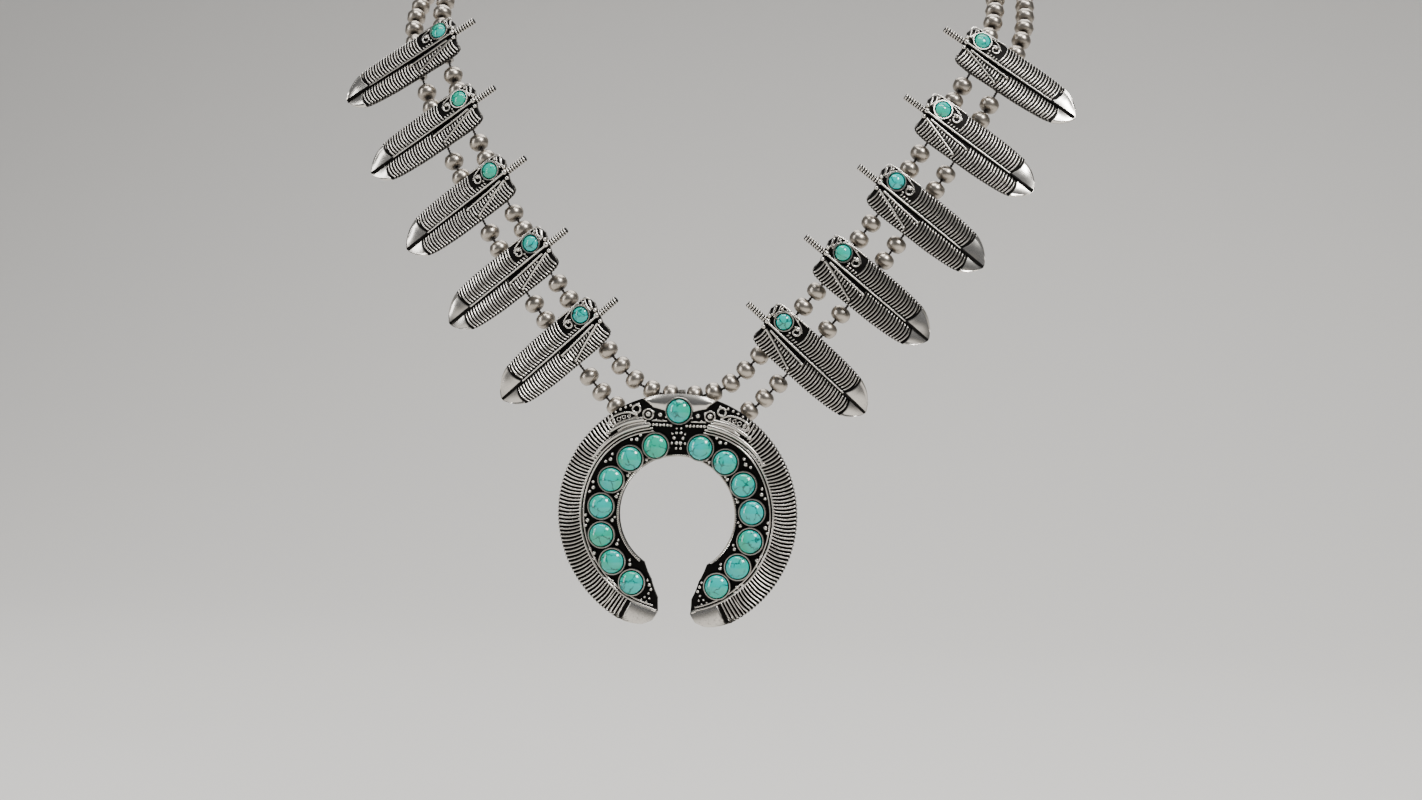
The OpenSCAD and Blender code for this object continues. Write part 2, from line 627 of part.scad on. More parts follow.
module clasp() {
    high = clasp_row_gap + 2 * clasp_edge;
    color(DARK_SILVER) difference() {
        rotate([0, 90, 0]) linear_extrude(clasp_len, center = true) union() {
            square([high - clasp_t, clasp_t], center = true);
            for (x = [-1, 1]) translate([x * (high - clasp_t) / 2, 0]) circle(clasp_t / 2);
        }
        for (z = [-1, 1]) translate([0, 0, z * clasp_row_gap / 2]) clasp_bore();
    }
}

module left() {
    mirror([1, 0, 0]) children();
}

bead_row(INNER_BEADS, INNER_AT, INNER);  // inner_beads_right
left() bead_row(INNER_BEADS, INNER_AT, INNER);  // inner_beads_left
bead_row(OUTER_BEADS, OUTER_AT, OUTER);  // outer_beads_right
left() bead_row(OUTER_BEADS, OUTER_AT, OUTER);  // outer_beads_left
thread(INNER_BEADS, INNER_TUBES, INNER_AT, INNER);  // inner_thread
thread(OUTER_BEADS, OUTER_TUBES, OUTER_AT, OUTER);  // outer_thread
naja();
naja_stone([0, top_stone_r]);  // naja_stone_top
clasp();
for (k = [0:FEATHERS - 1]) {
    n = str(FEATHERS - k);
    right_feather(k);
    left() right_feather(k);
    right_feather_stone(k);
    left() right_feather_stone(k);
}
for (i = [0:side_stones - 1]) {
    naja_stone(side_stone_at(i));
    left() naja_stone(side_stone_at(i));
}
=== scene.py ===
# %% [markdown]
# # A squash blossom necklace in cast silver and turquoise
# Two strands of silver beads go round the neck. They carry five cast feathers
# on each side and, in the middle, a crescent pendant: a naja made of two feathers
# that meet over its top stone. This notebook dresses solids that are already in
# place. Sizes are a maker's millimetres, and each finished mesh is scaled to metres
# once, when it goes to its place.


# %% Load the solids
import math

import bmesh
import bpy
import numpy as np
from mathutils import Matrix, Vector


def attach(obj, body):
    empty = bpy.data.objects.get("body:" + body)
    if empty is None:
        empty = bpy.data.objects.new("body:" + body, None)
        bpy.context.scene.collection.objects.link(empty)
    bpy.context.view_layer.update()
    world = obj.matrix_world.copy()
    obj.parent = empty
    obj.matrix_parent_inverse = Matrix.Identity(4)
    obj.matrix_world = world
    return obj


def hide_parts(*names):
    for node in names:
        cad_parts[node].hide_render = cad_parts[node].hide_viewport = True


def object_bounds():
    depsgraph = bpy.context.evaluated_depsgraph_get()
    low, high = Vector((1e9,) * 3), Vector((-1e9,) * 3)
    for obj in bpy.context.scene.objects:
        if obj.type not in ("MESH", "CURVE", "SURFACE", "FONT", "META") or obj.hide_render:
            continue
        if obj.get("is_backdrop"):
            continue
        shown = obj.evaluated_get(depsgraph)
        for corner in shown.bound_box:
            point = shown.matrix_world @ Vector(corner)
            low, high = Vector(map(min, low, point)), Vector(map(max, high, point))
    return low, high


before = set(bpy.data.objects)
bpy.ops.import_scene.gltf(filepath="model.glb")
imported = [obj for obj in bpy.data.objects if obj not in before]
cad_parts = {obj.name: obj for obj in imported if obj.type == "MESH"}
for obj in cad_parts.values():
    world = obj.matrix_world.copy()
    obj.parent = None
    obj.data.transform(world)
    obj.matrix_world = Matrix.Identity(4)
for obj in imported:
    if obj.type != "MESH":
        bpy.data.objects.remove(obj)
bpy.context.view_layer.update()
MM = 0.001
METRES = Matrix.Scale(MM, 4)


# %% [markdown]
# ## Camera
# The picture was taken from a little to the right of the pendant's own axis and
# from just above it, and the camera was not quite level. A long lens keeps the
# feathers on both sides nearly the same size. The lens could be set by eye. Here it
# is worked out from the millimetres that one pixel shows at the pendant.


# %% Camera
IMAGE_WIDTH = 1422
CAMERA_TURN = math.radians(8.54)
CAMERA_RISE = math.radians(3.25)
CAMERA_ROLL = math.radians(1.68)
CAMERA_DISTANCE = 750
CAMERA_TARGET = Vector((8.04, -165, -156.93))
MM_PER_PIXEL = 0.2635
SENSOR = 36


def away(turn, rise):
    """The direction from the target towards a place at that turn and height."""
    level = math.cos(rise)
    return Vector((math.sin(turn) * level, -math.cos(turn) * level, math.sin(rise)))


camera = bpy.data.objects.new("camera", bpy.data.cameras.new("camera"))
bpy.context.collection.objects.link(camera)
camera.data.sensor_width = SENSOR
camera.data.lens = SENSOR * CAMERA_DISTANCE / MM_PER_PIXEL / IMAGE_WIDTH
back = away(CAMERA_TURN, CAMERA_RISE)
camera.location = (CAMERA_TARGET + back * CAMERA_DISTANCE) * MM
camera.rotation_mode = "QUATERNION"
upright = (-back).to_track_quat("-Z", "Y")
camera.rotation_quaternion = upright @ Matrix.Rotation(CAMERA_ROLL, 4, "Z").to_quaternion()
bpy.context.scene.camera = camera
print("lens", round(camera.data.lens, 1), "mm")


# %% [markdown]
# ## The way the strands run
# Both strands follow one middle line: down from the nape, round the neck and along
# the chest to the pendant. It could be drawn as a Curve object. Here it is a table of
# chosen places with a spline through them, because every bead and feather needs the
# length along the strand and the way it faces, and a table gives both. Feathers lie
# flat on whatever is behind them, so each place also says which way the strands face.


# %% Sizes of what is strung
BEAD_D = 5.4  # across a bead
BEAD_LEN = 4.6  # a bead's share of its thread
BEAD_PLAY = 0.7  # bare thread between two shares
BEAD_PITCH = BEAD_LEN + BEAD_PLAY
THREAD_D = 0.8
BORE_PLAY = 0.25  # between a thread and the wall of a tube or an eye
SECTION_BEADS = 3  # between two feathers
BOTTOM_BEADS = 5  # on the inner strand, between the pendant and the first feather
SLACK = 2.4  # bare thread that each section has to spare
FIRST_SLACK = 0.7  # share of it that the section below the first feather has
ROW_GAP = 8.7  # between the two strands
CLASP_ROW_GAP = BEAD_D + 0.6
CLASP_LEN = 14
print("one bead every", round(BEAD_PITCH, 2), "mm")


# %% Sizes of what hangs on the strands
FEATHERS = 5  # on each side
FEATHER_LEN = 42.3
# Degrees that each feather's tip hangs below square to the strands, from the lowest up
FEATHER_DROOP = [0.9, 0.6, 3, 3.6, 7.4]
TUBE_LEN = 5
TUBE_D = 2.8
TUBE_DROP = 1.4  # how far down the feather's width its tubes sit
CROSS_ALONG = 0.38 * FEATHER_LEN  # from the quill's end to where the strands cross
BACK_OFF = BEAD_D / 2 + 0.4  # from a strand to the back of the casting before it
EYE_T = 1.2
EYE_D = 3
print("strands cross each feather", round(CROSS_ALONG, 1), "mm from its quill's end")


# %% Route, from the pendant to the nape
# Columns: x, y, z, degrees turned from the front, degrees leaned up
ROUTE = np.array([
    [0, -162, -160.4, 0, 0],
    [5.5, -162, -160.4, 0, 0],
    [10.7, -162.3, -158.8, 3, 0],
    [16.3, -162.3, -155.5, 6.3, 0.5],
    [23.5, -162.2, -147.7, 9.6, 1.6],
    [36.6, -161, -132.1, 13.2, 3.7],
    [50.4, -156.9, -113.5, 15.9, 7.9],
    [62.4, -150.5, -94.5, 18, 14.9],
    [72.6, -141.5, -76, 19.2, 25.3],
    [80.2, -129.2, -58, 24.3, 36.6],
    [80.3, -115, -46.3, 35.3, 47.2],
    [78.5, -97, -34, 50, 58],
    [72.5, -69, -23, 84, 55],
    [58, -38, -12.5, 120, 42],
    [37, -14, -4.5, 146, 25],
    [18, -3.2, -1, 166, 8],
    [0, 0, 0, 180, 0],
])
ROUTE_STEPS = 8


def spline(rows, steps):
    """A smooth curve through all the rows but the first and last, which only steer it."""
    out = [0.5 * (2 * b + (c - a) * t + (2 * a - 5 * b + 4 * c - d) * t**2
                  + (3 * b - a - 3 * c + d) * t**3)
           for a, b, c, d in zip(rows, rows[1:], rows[2:], rows[3:])
           for t in np.arange(steps) / steps]
    return np.array(out + [rows[-2]])


def mirrored(row):
    """The same place on the other side of the necklace."""
    return np.array([-row[0], row[1], row[2], -row[3] if row[3] < 90 else 360 - row[3], row[4]])


# Mirror images steer both ends, so the two sides meet without a kink
rows = spline([mirrored(ROUTE[1]), *ROUTE, mirrored(ROUTE[-2])], ROUTE_STEPS)
print("route:", len(ROUTE), "chosen places,", len(rows), "points on the curve")


# %% Lengths and directions on a line
def unit(v):
    """Vectors of the same direction, one long."""
    return v / np.linalg.norm(v, axis=-1, keepdims=True)


def square(n, t):
    """The direction nearest to n that is square to t."""
    return unit(n - (n @ t) * t)


def lengths(p):
    """The length along a line at each of its points."""
    return np.concatenate([[0], np.cumsum(np.linalg.norm(np.diff(p, axis=0), axis=1))])


def pick(s, at, p):
    """What the rows p say at a length s, where at holds the length of each row."""
    return np.array([np.interp(s, at, p[:, i]) for i in range(3)])


mid = rows[:, :3]
mid_at = lengths(mid)
tangent = np.vstack([[1, 0, 0], unit(mid[2:] - mid[:-2]), [-1, 0, 0]])
turn, lean = np.radians(rows[:, 3]), np.radians(rows[:, 4])
facing = np.stack([np.sin(turn) * np.cos(lean), -np.cos(turn) * np.cos(lean), np.sin(lean)], -1)
normal = np.array([square(n, t) for n, t in zip(facing, tangent)])
print("middle line:", round(2 * mid_at[-1]), "mm round")


# %% The two strands
# They draw together over the last part of their way to the clasp
GATHER_FROM = 0.55
across = np.cross(tangent, normal)
gather = np.clip(mid_at / mid_at[-1] - GATHER_FROM, 0, None) / (1 - GATHER_FROM)
half_gap = (ROW_GAP + (CLASP_ROW_GAP - ROW_GAP) * gather)[:, None] / 2
STRANDS = {}
for name, side in (("inner", -1), ("outer", 1)):
    line = mid + side * across * half_gap
    STRANDS[name] = {"line": line, "at": lengths(line)}
    print(name, "strand", round(2 * STRANDS[name]["at"][-1]), "mm long")


# %% Places of the feathers
def tube_shift(k):
    """How far a drooping feather's tubes move along the strands, out of line."""
    return ROW_GAP / 2 * math.tan(math.radians(FEATHER_DROOP[k]))


first_inner = EYE_T / 2 + BOTTOM_BEADS * BEAD_PITCH + FIRST_SLACK * SLACK + TUBE_LEN / 2
first_mid = np.interp(first_inner, STRANDS["inner"]["at"], mid_at) - tube_shift(0)
feather_step = SECTION_BEADS * BEAD_PITCH + SLACK + TUBE_LEN
feather_at = [first_mid + k * feather_step for k in range(FEATHERS)]
print("feathers at", [round(s) for s in feather_at], "mm from the pendant")


# %% Places of the beads
def filled(start, room, pitch):
    """Where each bead's share starts, in a room that starts there."""
    return [start + i * pitch for i in range(int(room // pitch))]


for name, side in (("inner", 1), ("outer", -1)):
    at = STRANDS[name]["at"]
    tubes = [np.interp(feather_at[k] + side * tube_shift(k), mid_at, at) for k in range(FEATHERS)]
    starts = filled(EYE_T / 2, tubes[0] - TUBE_LEN / 2 - EYE_T / 2, BEAD_PITCH)
    for low, high in zip(tubes, tubes[1:]):
        starts += filled(low + TUBE_LEN / 2, high - low - TUBE_LEN, BEAD_PITCH)
    last = tubes[-1] + TUBE_LEN / 2
    room = at[-1] - CLASP_LEN / 2 - last
    starts += [last + i * room / (room // BEAD_PITCH) for i in range(int(room // BEAD_PITCH))]
    STRANDS[name].update(tubes=tubes, beads=starts)
    print(name, "strand:", len(starts), "beads on each side")


# %% Frames on the strands
def frame_matrix(origin, x, y, z):
    """The matrix that takes a shape drawn at the origin to those three directions."""
    return Matrix([(*[v[i] for v in (x, y, z)], origin[i]) for i in range(3)] + [(0, 0, 0, 1)])


def on_strand(name, start, end):
    """Frame at the middle of a stretch of strand: X along it, Z the way it faces."""
    line, at = STRANDS[name]["line"], STRANDS[name]["at"]
    a, b = pick(start, at, line), pick(end, at, line)
    x = unit(b - a)
    n = square(pick((start + end) / 2, at, normal), x)
    return frame_matrix((a + b) / 2, x, np.cross(n, x), n)


def feather_frame(k):
    """Frame of a feather: X from quill to tip, Y to the stone's side, Z its face."""
    t = unit(pick(feather_at[k], mid_at, tangent))
    n = square(pick(feather_at[k], mid_at, normal), t)
    a = np.cross(t, n)
    droop = math.radians(FEATHER_DROOP[k])
    u = a * math.cos(droop) - t * math.sin(droop)
    v = t * math.cos(droop) + a * math.sin(droop)
    origin = pick(feather_at[k], mid_at, mid) + n * BACK_OFF + t * TUBE_DROP - u * CROSS_ALONG
    return frame_matrix(origin, u, v, n)


# Everything is made for one side, and its mirror image stands on the other
LEFT = Matrix.Diagonal((-1, 1, 1, 1))
SIDES = (("right", Matrix.Identity(4)), ("left", LEFT))
print("lowest feather's quill at", [round(x, 1) for x in feather_frame(0).translation])


# %% [markdown]
# ## Light and studio
# Polished silver shows its surroundings more than itself. A pale sheet of paper runs
# from the floor up behind the necklace. In front of it the room is dim, so the silver
# has something dark to reflect, and a few large soft lights draw the bright lines on
# the edges of the casting. A picture of a studio round the scene would do the same,
# but area lights are plain to move one by one.


# %% Colours and nodes
def colour(code):
    """sRGB hex to the linear colour that shaders work in."""
    parts = [int(code[i:i + 2], 16) / 255 for i in (1, 3, 5)]
    linear = [c / 12.92 if c <= 0.04045 else ((c + 0.055) / 1.055) ** 2.4 for c in parts]
    return (*linear, 1)


def add(tree, kind, settings=(), links=()):
    """One shader node, with its settings, its socket values and what feeds it."""
    n = tree.nodes.new(kind)
    for key, value in dict(settings).items():
        if hasattr(n, key):
            setattr(n, key, value)
        else:
            n.inputs[key].default_value = value
    for key, source in dict(links).items():
        tree.links.new(source, n.inputs[key])
    return n


def new_material(name):
    """A material with an empty node tree."""
    m = bpy.data.materials.new(name)
    m.use_nodes = True
    m.node_tree.nodes.clear()
    return m, m.node_tree


def output(tree, surface):
    """Ends a material: the surface goes to its output node."""
    add(tree, "ShaderNodeOutputMaterial", links={"Surface": surface})


print("the code #808080 is", round(colour("#808080")[0], 3), "in linear light")


# %% Lines and shapes of turning
WELD = 1e-3  # points nearer than this are one


def outline_mesh(points):
    """A mesh of one open line through the points."""
    bm = bmesh.new()
    verts = [bm.verts.new(p) for p in points]
    for pair in zip(verts, verts[1:]):
        bm.edges.new(pair)
    return bm


def lathe(profile, steps):
    """Spins a closed profile of (radius, height) points into a shape of turning."""
    bm = outline_mesh([(r, 0, z) for r, z in profile])
    bmesh.ops.spin(bm, geom=list(bm.verts) + list(bm.edges), cent=(0, 0, 0), axis=(0, 0, 1),
                   angle=math.tau, steps=steps, use_merge=True)
    bmesh.ops.remove_doubles(bm, verts=bm.verts, dist=WELD)
    bmesh.ops.recalc_face_normals(bm, faces=bm.faces)
    return bm


# %% Paper cove, in metres
FLOOR_Z = -0.34
COVE_BACK = 1.7
COVE_FRONT = -4
COVE_TOP = 2.2
COVE_FILLET = 1.0
COVE_WIDTH = 9
bend = [(COVE_BACK - COVE_FILLET * (1 - math.sin(a)), FLOOR_Z + COVE_FILLET * (1 - math.cos(a)))
        for a in np.radians(np.arange(0, 91, 6))]
profile = [(COVE_FRONT, FLOOR_Z), *bend, (COVE_BACK, COVE_TOP)]
bm = outline_mesh([(-COVE_WIDTH / 2, y, z) for y, z in profile])
swept = bmesh.ops.extrude_edge_only(bm, edges=list(bm.edges))["geom"]
bmesh.ops.translate(bm, verts=[g for g in swept if isinstance(g, bmesh.types.BMVert)],
                    vec=(COVE_WIDTH, 0, 0))
bmesh.ops.recalc_face_normals(bm, faces=bm.faces)
for f in bm.faces:
    f.smooth = True
mesh = bpy.data.meshes.new("paper_cove")
bm.to_mesh(mesh)
bm.free()
cove = bpy.data.objects.new("paper_cove", mesh)
bpy.context.collection.objects.link(cove)
# Uncoated studio paper: it scatters light evenly and has hardly any gloss
paper, tree = new_material("pale_studio_paper")
matt = {"Base Color": colour("#e6e3de"), "Roughness": 0.9, "Specular IOR Level": 0.1}
output(tree, add(tree, "ShaderNodeBsdfPrincipled", matt).outputs[0])
mesh.materials.append(paper)
cove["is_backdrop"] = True
print("paper:", len(mesh.polygons), "faces, floor at", FLOOR_Z, "m")


# %% Lights
LIT_PLACE = Vector((0, -0.15, -0.12))


def soft_light(name, turn, rise, distance, size, watts):
    """A white rectangle of light, in metres, that looks at the necklace."""
    data = bpy.data.lights.new(name, "AREA")
    data.shape = "RECTANGLE"
    data.size, data.size_y = size
    data.energy = watts
    light = bpy.data.objects.new(name, data)
    bpy.context.collection.objects.link(light)
    direction = away(math.radians(turn), math.radians(rise))
    light.location = LIT_PLACE + direction * distance
    light.rotation_mode = "QUATERNION"
    light.rotation_quaternion = direction.to_track_quat("Z", "Y")


soft_light("key", 48, 40, 1.1, (0.3, 0.3), 11)
soft_light("side", -62, 12, 1.2, (0.2, 0.9), 5)
soft_light("top", -8, 72, 1.2, (0.8, 0.25), 8)
soft_light("paper", 178, 55, 1.3, (1.2, 1.2), 16)
world = bpy.data.worlds.new("studio")
world.use_nodes = True
world.node_tree.nodes["Background"].inputs[0].default_value = colour("#d9dde3")
world.node_tree.nodes["Background"].inputs[1].default_value = 0.22
bpy.context.scene.world = world


# %% [markdown]
# ## Making shapes
# A cast jewel is a plate with raised work on it. Each raised bit is made as a small
# closed shape in the jewel's own flat frame, given a relief value from 0 in the
# recesses to 1 on the polished crests, and added to the jewel. The silver's finish
# reads that value later. Sculpting or an image of heights could raise the work too,
# but small solid shapes keep their sharp edges from close by.


# %% Shapes with a relief value
RELIEF = "relief"


def shape():
    """An empty mesh whose points can hold the relief value."""
    bm = bmesh.new()
    bm.verts.layers.float.new(RELIEF)
    return bm


def tone(bm, low=None, high=None, value=None):
    """Writes the relief of each vertex: one value, or from 0 at low to 1 at high."""
    layer = bm.verts.layers.float.get(RELIEF) or bm.verts.layers.float.new(RELIEF)
    for v in bm.verts:
        v[layer] = min(1, max(0, (v.co.z - low) / (high - low))) if value is None else value
    return bm


def join(target, part, matrix=Matrix.Identity(4), keep=False):
    """Copies a shape into a bigger one."""
    mesh = bpy.data.meshes.new("part")
    part.to_mesh(mesh)
    mesh.transform(matrix)
    if matrix.determinant() < 0:
        mesh.flip_normals()
    target.from_mesh(mesh)
    bpy.data.meshes.remove(mesh)
    if not keep:
        part.free()


# %% Bars, rings and balls
WIRE_WELD = 1e-4


def bar(path, radii, sides=8):
    """A round bar: a grid is rolled up round the path, sewn together and capped."""
    path = np.array(path, float)
    radii = np.broadcast_to(radii, len(path))
    along = unit(np.gradient(path, axis=0))
    x = np.cross((0, 0, 1), along)
    x = unit(np.where(np.linalg.norm(x, axis=1, keepdims=True) < 1e-6, (1, 0, 0), x))
    y = np.cross(along, x)
    bm = bmesh.new()
    bmesh.ops.create_grid(bm, x_segments=len(path) - 1, y_segments=sides, size=0.5)
    for v in bm.verts:
        i = round((v.co.x + 0.5) * (len(path) - 1))
        a = math.tau * (v.co.y + 0.5)
        v.co = path[i] + radii[i] * (math.cos(a) * x[i] + math.sin(a) * y[i])
    bmesh.ops.remove_doubles(bm, verts=bm.verts, dist=WIRE_WELD)
    bmesh.ops.holes_fill(bm, edges=[e for e in bm.edges if e.is_boundary], sides=sides)
    bmesh.ops.recalc_face_normals(bm, faces=bm.faces)
    return bm


def ring(radius, wire, steps=28, sides=8):
    """A loop of wire that lies flat."""
    bm = bmesh.new()
    made = bmesh.ops.create_circle(bm, segments=sides, radius=wire)["verts"]
    bmesh.ops.rotate(bm, verts=made, cent=(0, 0, 0),
                     matrix=Matrix.Rotation(math.pi / 2, 3, "X"))
    bmesh.ops.translate(bm, verts=made, vec=(radius, 0, 0))
    bmesh.ops.spin(bm, geom=list(bm.verts) + list(bm.edges), cent=(0, 0, 0), axis=(0, 0, 1),
                   angle=math.tau, steps=steps, use_merge=True)
    bmesh.ops.remove_doubles(bm, verts=bm.verts, dist=WIRE_WELD)
    bmesh.ops.recalc_face_normals(bm, faces=bm.faces)
    return bm


def ball(radius):
    """A shot of silver."""
    bm = bmesh.new()
    bmesh.ops.create_icosphere(bm, subdivisions=2, radius=radius)
    return bm


# %% Raised work: wires, rings and granules
def add_wire(bm, path, radii, low, high, sides=8):
    """Solders a bar on: dark up to the height low, polished from the height high."""
    join(bm, tone(bar(path, radii, sides), low, high))


def add_ring(bm, at, radius, wire, bright):
    """Solders a small ring on, polished from that far above its middle."""
    join(bm, tone(ring(radius, wire), -0.1, bright), Matrix.Translation(at))


def add_granule(bm, at, d, dark, bright):
    """Solders a ball on: dark and bright are shares of its width, down and up from its middle."""
    join(bm, tone(ball(d / 2), -dark * d, bright * d), Matrix.Translation(at))


# %% Plates, blocks and curves
def close_below(bm, z):
    """Turns a surface into a closed solid whose underside is flat at z."""
    rim = [e for e in bm.edges if e.is_boundary]
    made = bmesh.ops.extrude_edge_only(bm, edges=rim)["geom"]
    for g in made:
        if isinstance(g, bmesh.types.BMVert):
            g.co.z = z
    edges = [g for g in made if isinstance(g, bmesh.types.BMEdge)]
    bmesh.ops.triangle_fill(bm, use_beauty=True, edges=edges, normal=(0, 0, -1))
    bmesh.ops.recalc_face_normals(bm, faces=bm.faces)


def slab(outline, low, high, edge):
    """A flat plate with rounded edges from an outline of (x, y) points."""
    bm = bmesh.new()
    face = bm.faces.new([bm.verts.new((x, y, low)) for x, y in outline])
    top = bmesh.ops.extrude_face_region(bm, geom=[face])["geom"]
    bmesh.ops.translate(bm, verts=[g for g in top if isinstance(g, bmesh.types.BMVert)],
                        vec=(0, 0, high - low))
    level = [e for e in bm.edges if abs(e.verts[0].co.z - e.verts[1].co.z) < 1e-6]
    bmesh.ops.bevel(bm, geom=level, offset=edge, segments=2, profile=0.5, affect="EDGES",
                    material=-1, clamp_overlap=True)
    bmesh.ops.recalc_face_normals(bm, faces=bm.faces)
    return bm


def block(x, y, z, at=(0, 0, 0)):
    """A box of that size round a place."""
    bm = bmesh.new()
    bmesh.ops.create_cube(bm, size=1)
    bmesh.ops.transform(bm, verts=bm.verts,
                        matrix=Matrix.Translation(at) @ Matrix.Diagonal((x, y, z, 1)))
    return bm


def along_x(bm):
    """Lays a shape that was turned about Z down along X."""
    bmesh.ops.rotate(bm, verts=bm.verts, cent=(0, 0, 0),
                     matrix=Matrix.Rotation(math.pi / 2, 3, "Y"))
    return bm


def curve_through(points, steps):
    """A smooth open curve through a few points."""
    p = [np.array(q, float) for q in points]
    return spline([2 * p[0] - p[1], *p, 2 * p[-1] - p[-2]], steps)


# %% Finished pieces
# Edges sharper than this stay crisp; everything flatter is shaded round
CREASE = math.radians(50)


def piece(name, bm, material, nodes, place=Matrix.Identity(4)):
    """Makes a shape an object, in metres and in its place, for the nodes it stands for."""
    bm.transform(METRES @ place)
    if place.determinant() < 0:
        bmesh.ops.reverse_faces(bm, faces=bm.faces)
    mesh = bpy.data.meshes.new(name)
    bm.to_mesh(mesh)
    bm.free()
    for p in mesh.polygons:
        p.use_smooth = True
    mesh.set_sharp_from_angle(angle=CREASE)
    mesh.materials.append(material)
    made = bpy.data.objects.new(name, mesh)
    bpy.context.collection.objects.link(made)
    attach(made, "root")
    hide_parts(*nodes)
    return made


# %% [markdown]
# ## Silver
# Cast silver is dipped in liver of sulphur, which turns it almost black, and is then
# polished, so only the crests come back bright. Both colours are the same metal: the
# dark skin is thin and duller. A shader can find recesses by itself with an ambient
# occlusion node, but that is slow. Here the relief value that each shape was given
# picks between the two, and a little noise makes the border uneven, as a polishing
# wheel leaves it.


# %% Oxidised silver
POLISH = "#d3cec6"
PATINA = "#191817"
PATINA_GRAIN = 0.5 * MM
SURFACE_GRAIN = 0.16 * MM
GRAIN_DEPTH = 0.03 * MM


def silver(name, bright, dark, rough, border, mottle=0.12, grain=SURFACE_GRAIN, bump=0.12):
    """Silver with its dark skin left below the border's first relief value.

    rough is the roughness of the polished and of the dark metal. The metal is fully
    bright above the border's second value, and mottle shifts the border to and fro."""
    m, tree = new_material(name)
    place = add(tree, "ShaderNodeTexCoord").outputs["Object"]
    relief = add(tree, "ShaderNodeAttribute", {"attribute_name": RELIEF}).outputs["Fac"]
    cloud = add(tree, "ShaderNodeTexNoise", {"Scale": 1 / PATINA_GRAIN, "Detail": 3},
                {"Vector": place}).outputs["Fac"]
    stir = add(tree, "ShaderNodeMapRange",
               {"From Min": 0.3, "From Max": 0.7, "To Min": -mottle, "To Max": mottle},
               {"Value": cloud}).outputs[0]
    height = add(tree, "ShaderNodeMath", {"operation": "ADD"}, {0: relief, 1: stir}).outputs[0]
    polish = add(tree, "ShaderNodeMapRange",
                 {"interpolation_type": "SMOOTHSTEP", "From Min": border[0], "From Max": border[1]},
                 {"Value": height}).outputs[0]
    tint = add(tree, "ShaderNodeMix", {"data_type": "RGBA"}, {0: polish})
    tint.inputs[6].default_value = colour(dark)
    tint.inputs[7].default_value = colour(bright)
    sheen = add(tree, "ShaderNodeMapRange", {"To Min": rough[1], "To Max": rough[0]},
                {"Value": polish}).outputs[0]
    fine = add(tree, "ShaderNodeTexNoise", {"Scale": 1 / grain, "Detail": 2},
               {"Vector": place}).outputs["Fac"]
    skin = add(tree, "ShaderNodeBump", {"Strength": bump, "Distance": GRAIN_DEPTH},
               {"Height": fine}).outputs[0]
    output(tree, add(tree, "ShaderNodeBsdfPrincipled", {"Metallic": 1},
                     {"Base Color": tint.outputs[2], "Roughness": sheen,
                      "Normal": skin}).outputs[0])
    print(name + ":", len(tree.nodes), "nodes")
    return m


# %% The silvers of the necklace
# Castings: nearly black in the recesses, and buffed bright on whatever stands up
cast_silver = silver("oxidised_cast_silver", POLISH, PATINA,
                     rough=(0.22, 0.55), border=(0.3, 0.8))
# Beads: thin sheet that skin and cloth have rubbed to a soft, warmer grey. Its bright and
# dark colours also paint the seam light and the ends by the holes dark: partly wear and
# tarnish, partly a painted highlight and painted shade
bead_silver = silver("worn_bead_silver_with_painted_light", "#b5aca0", "#3a3531",
                     rough=(0.3, 0.5), border=(0.0, 0.75), mottle=0.06, grain=0.4 * MM, bump=0.25)


# %% [markdown]
# ## Turquoise
# The stones are polished blue-green turquoise with a fine dark matrix. The body is
# close-grained and waxy, so its gloss is sharp but its colour is soft. A photograph
# of a stone could be laid on, but every stone would then be the same. The cracks are
# the edges between the cells of a cell pattern, drawn crooked by noise and left out
# in patches, so each stone shows another part of one endless rock.


# %% Turquoise with its matrix
BODY_BLUE = "#00b8b0"
BODY_GREEN = "#0cb090"
MATRIX = "#16413c"
VEIN_SPACING = 3.2 * MM
VEIN_CROOK = 1.6 * MM  # how far a vein strays
CROOK_SIZE = 1.3 * MM  # length of one bend of a vein
PATCH_SIZE = 2.2 * MM  # stretches with and without veins
CLOUD_SIZE = 10 * MM  # drift from blue to green


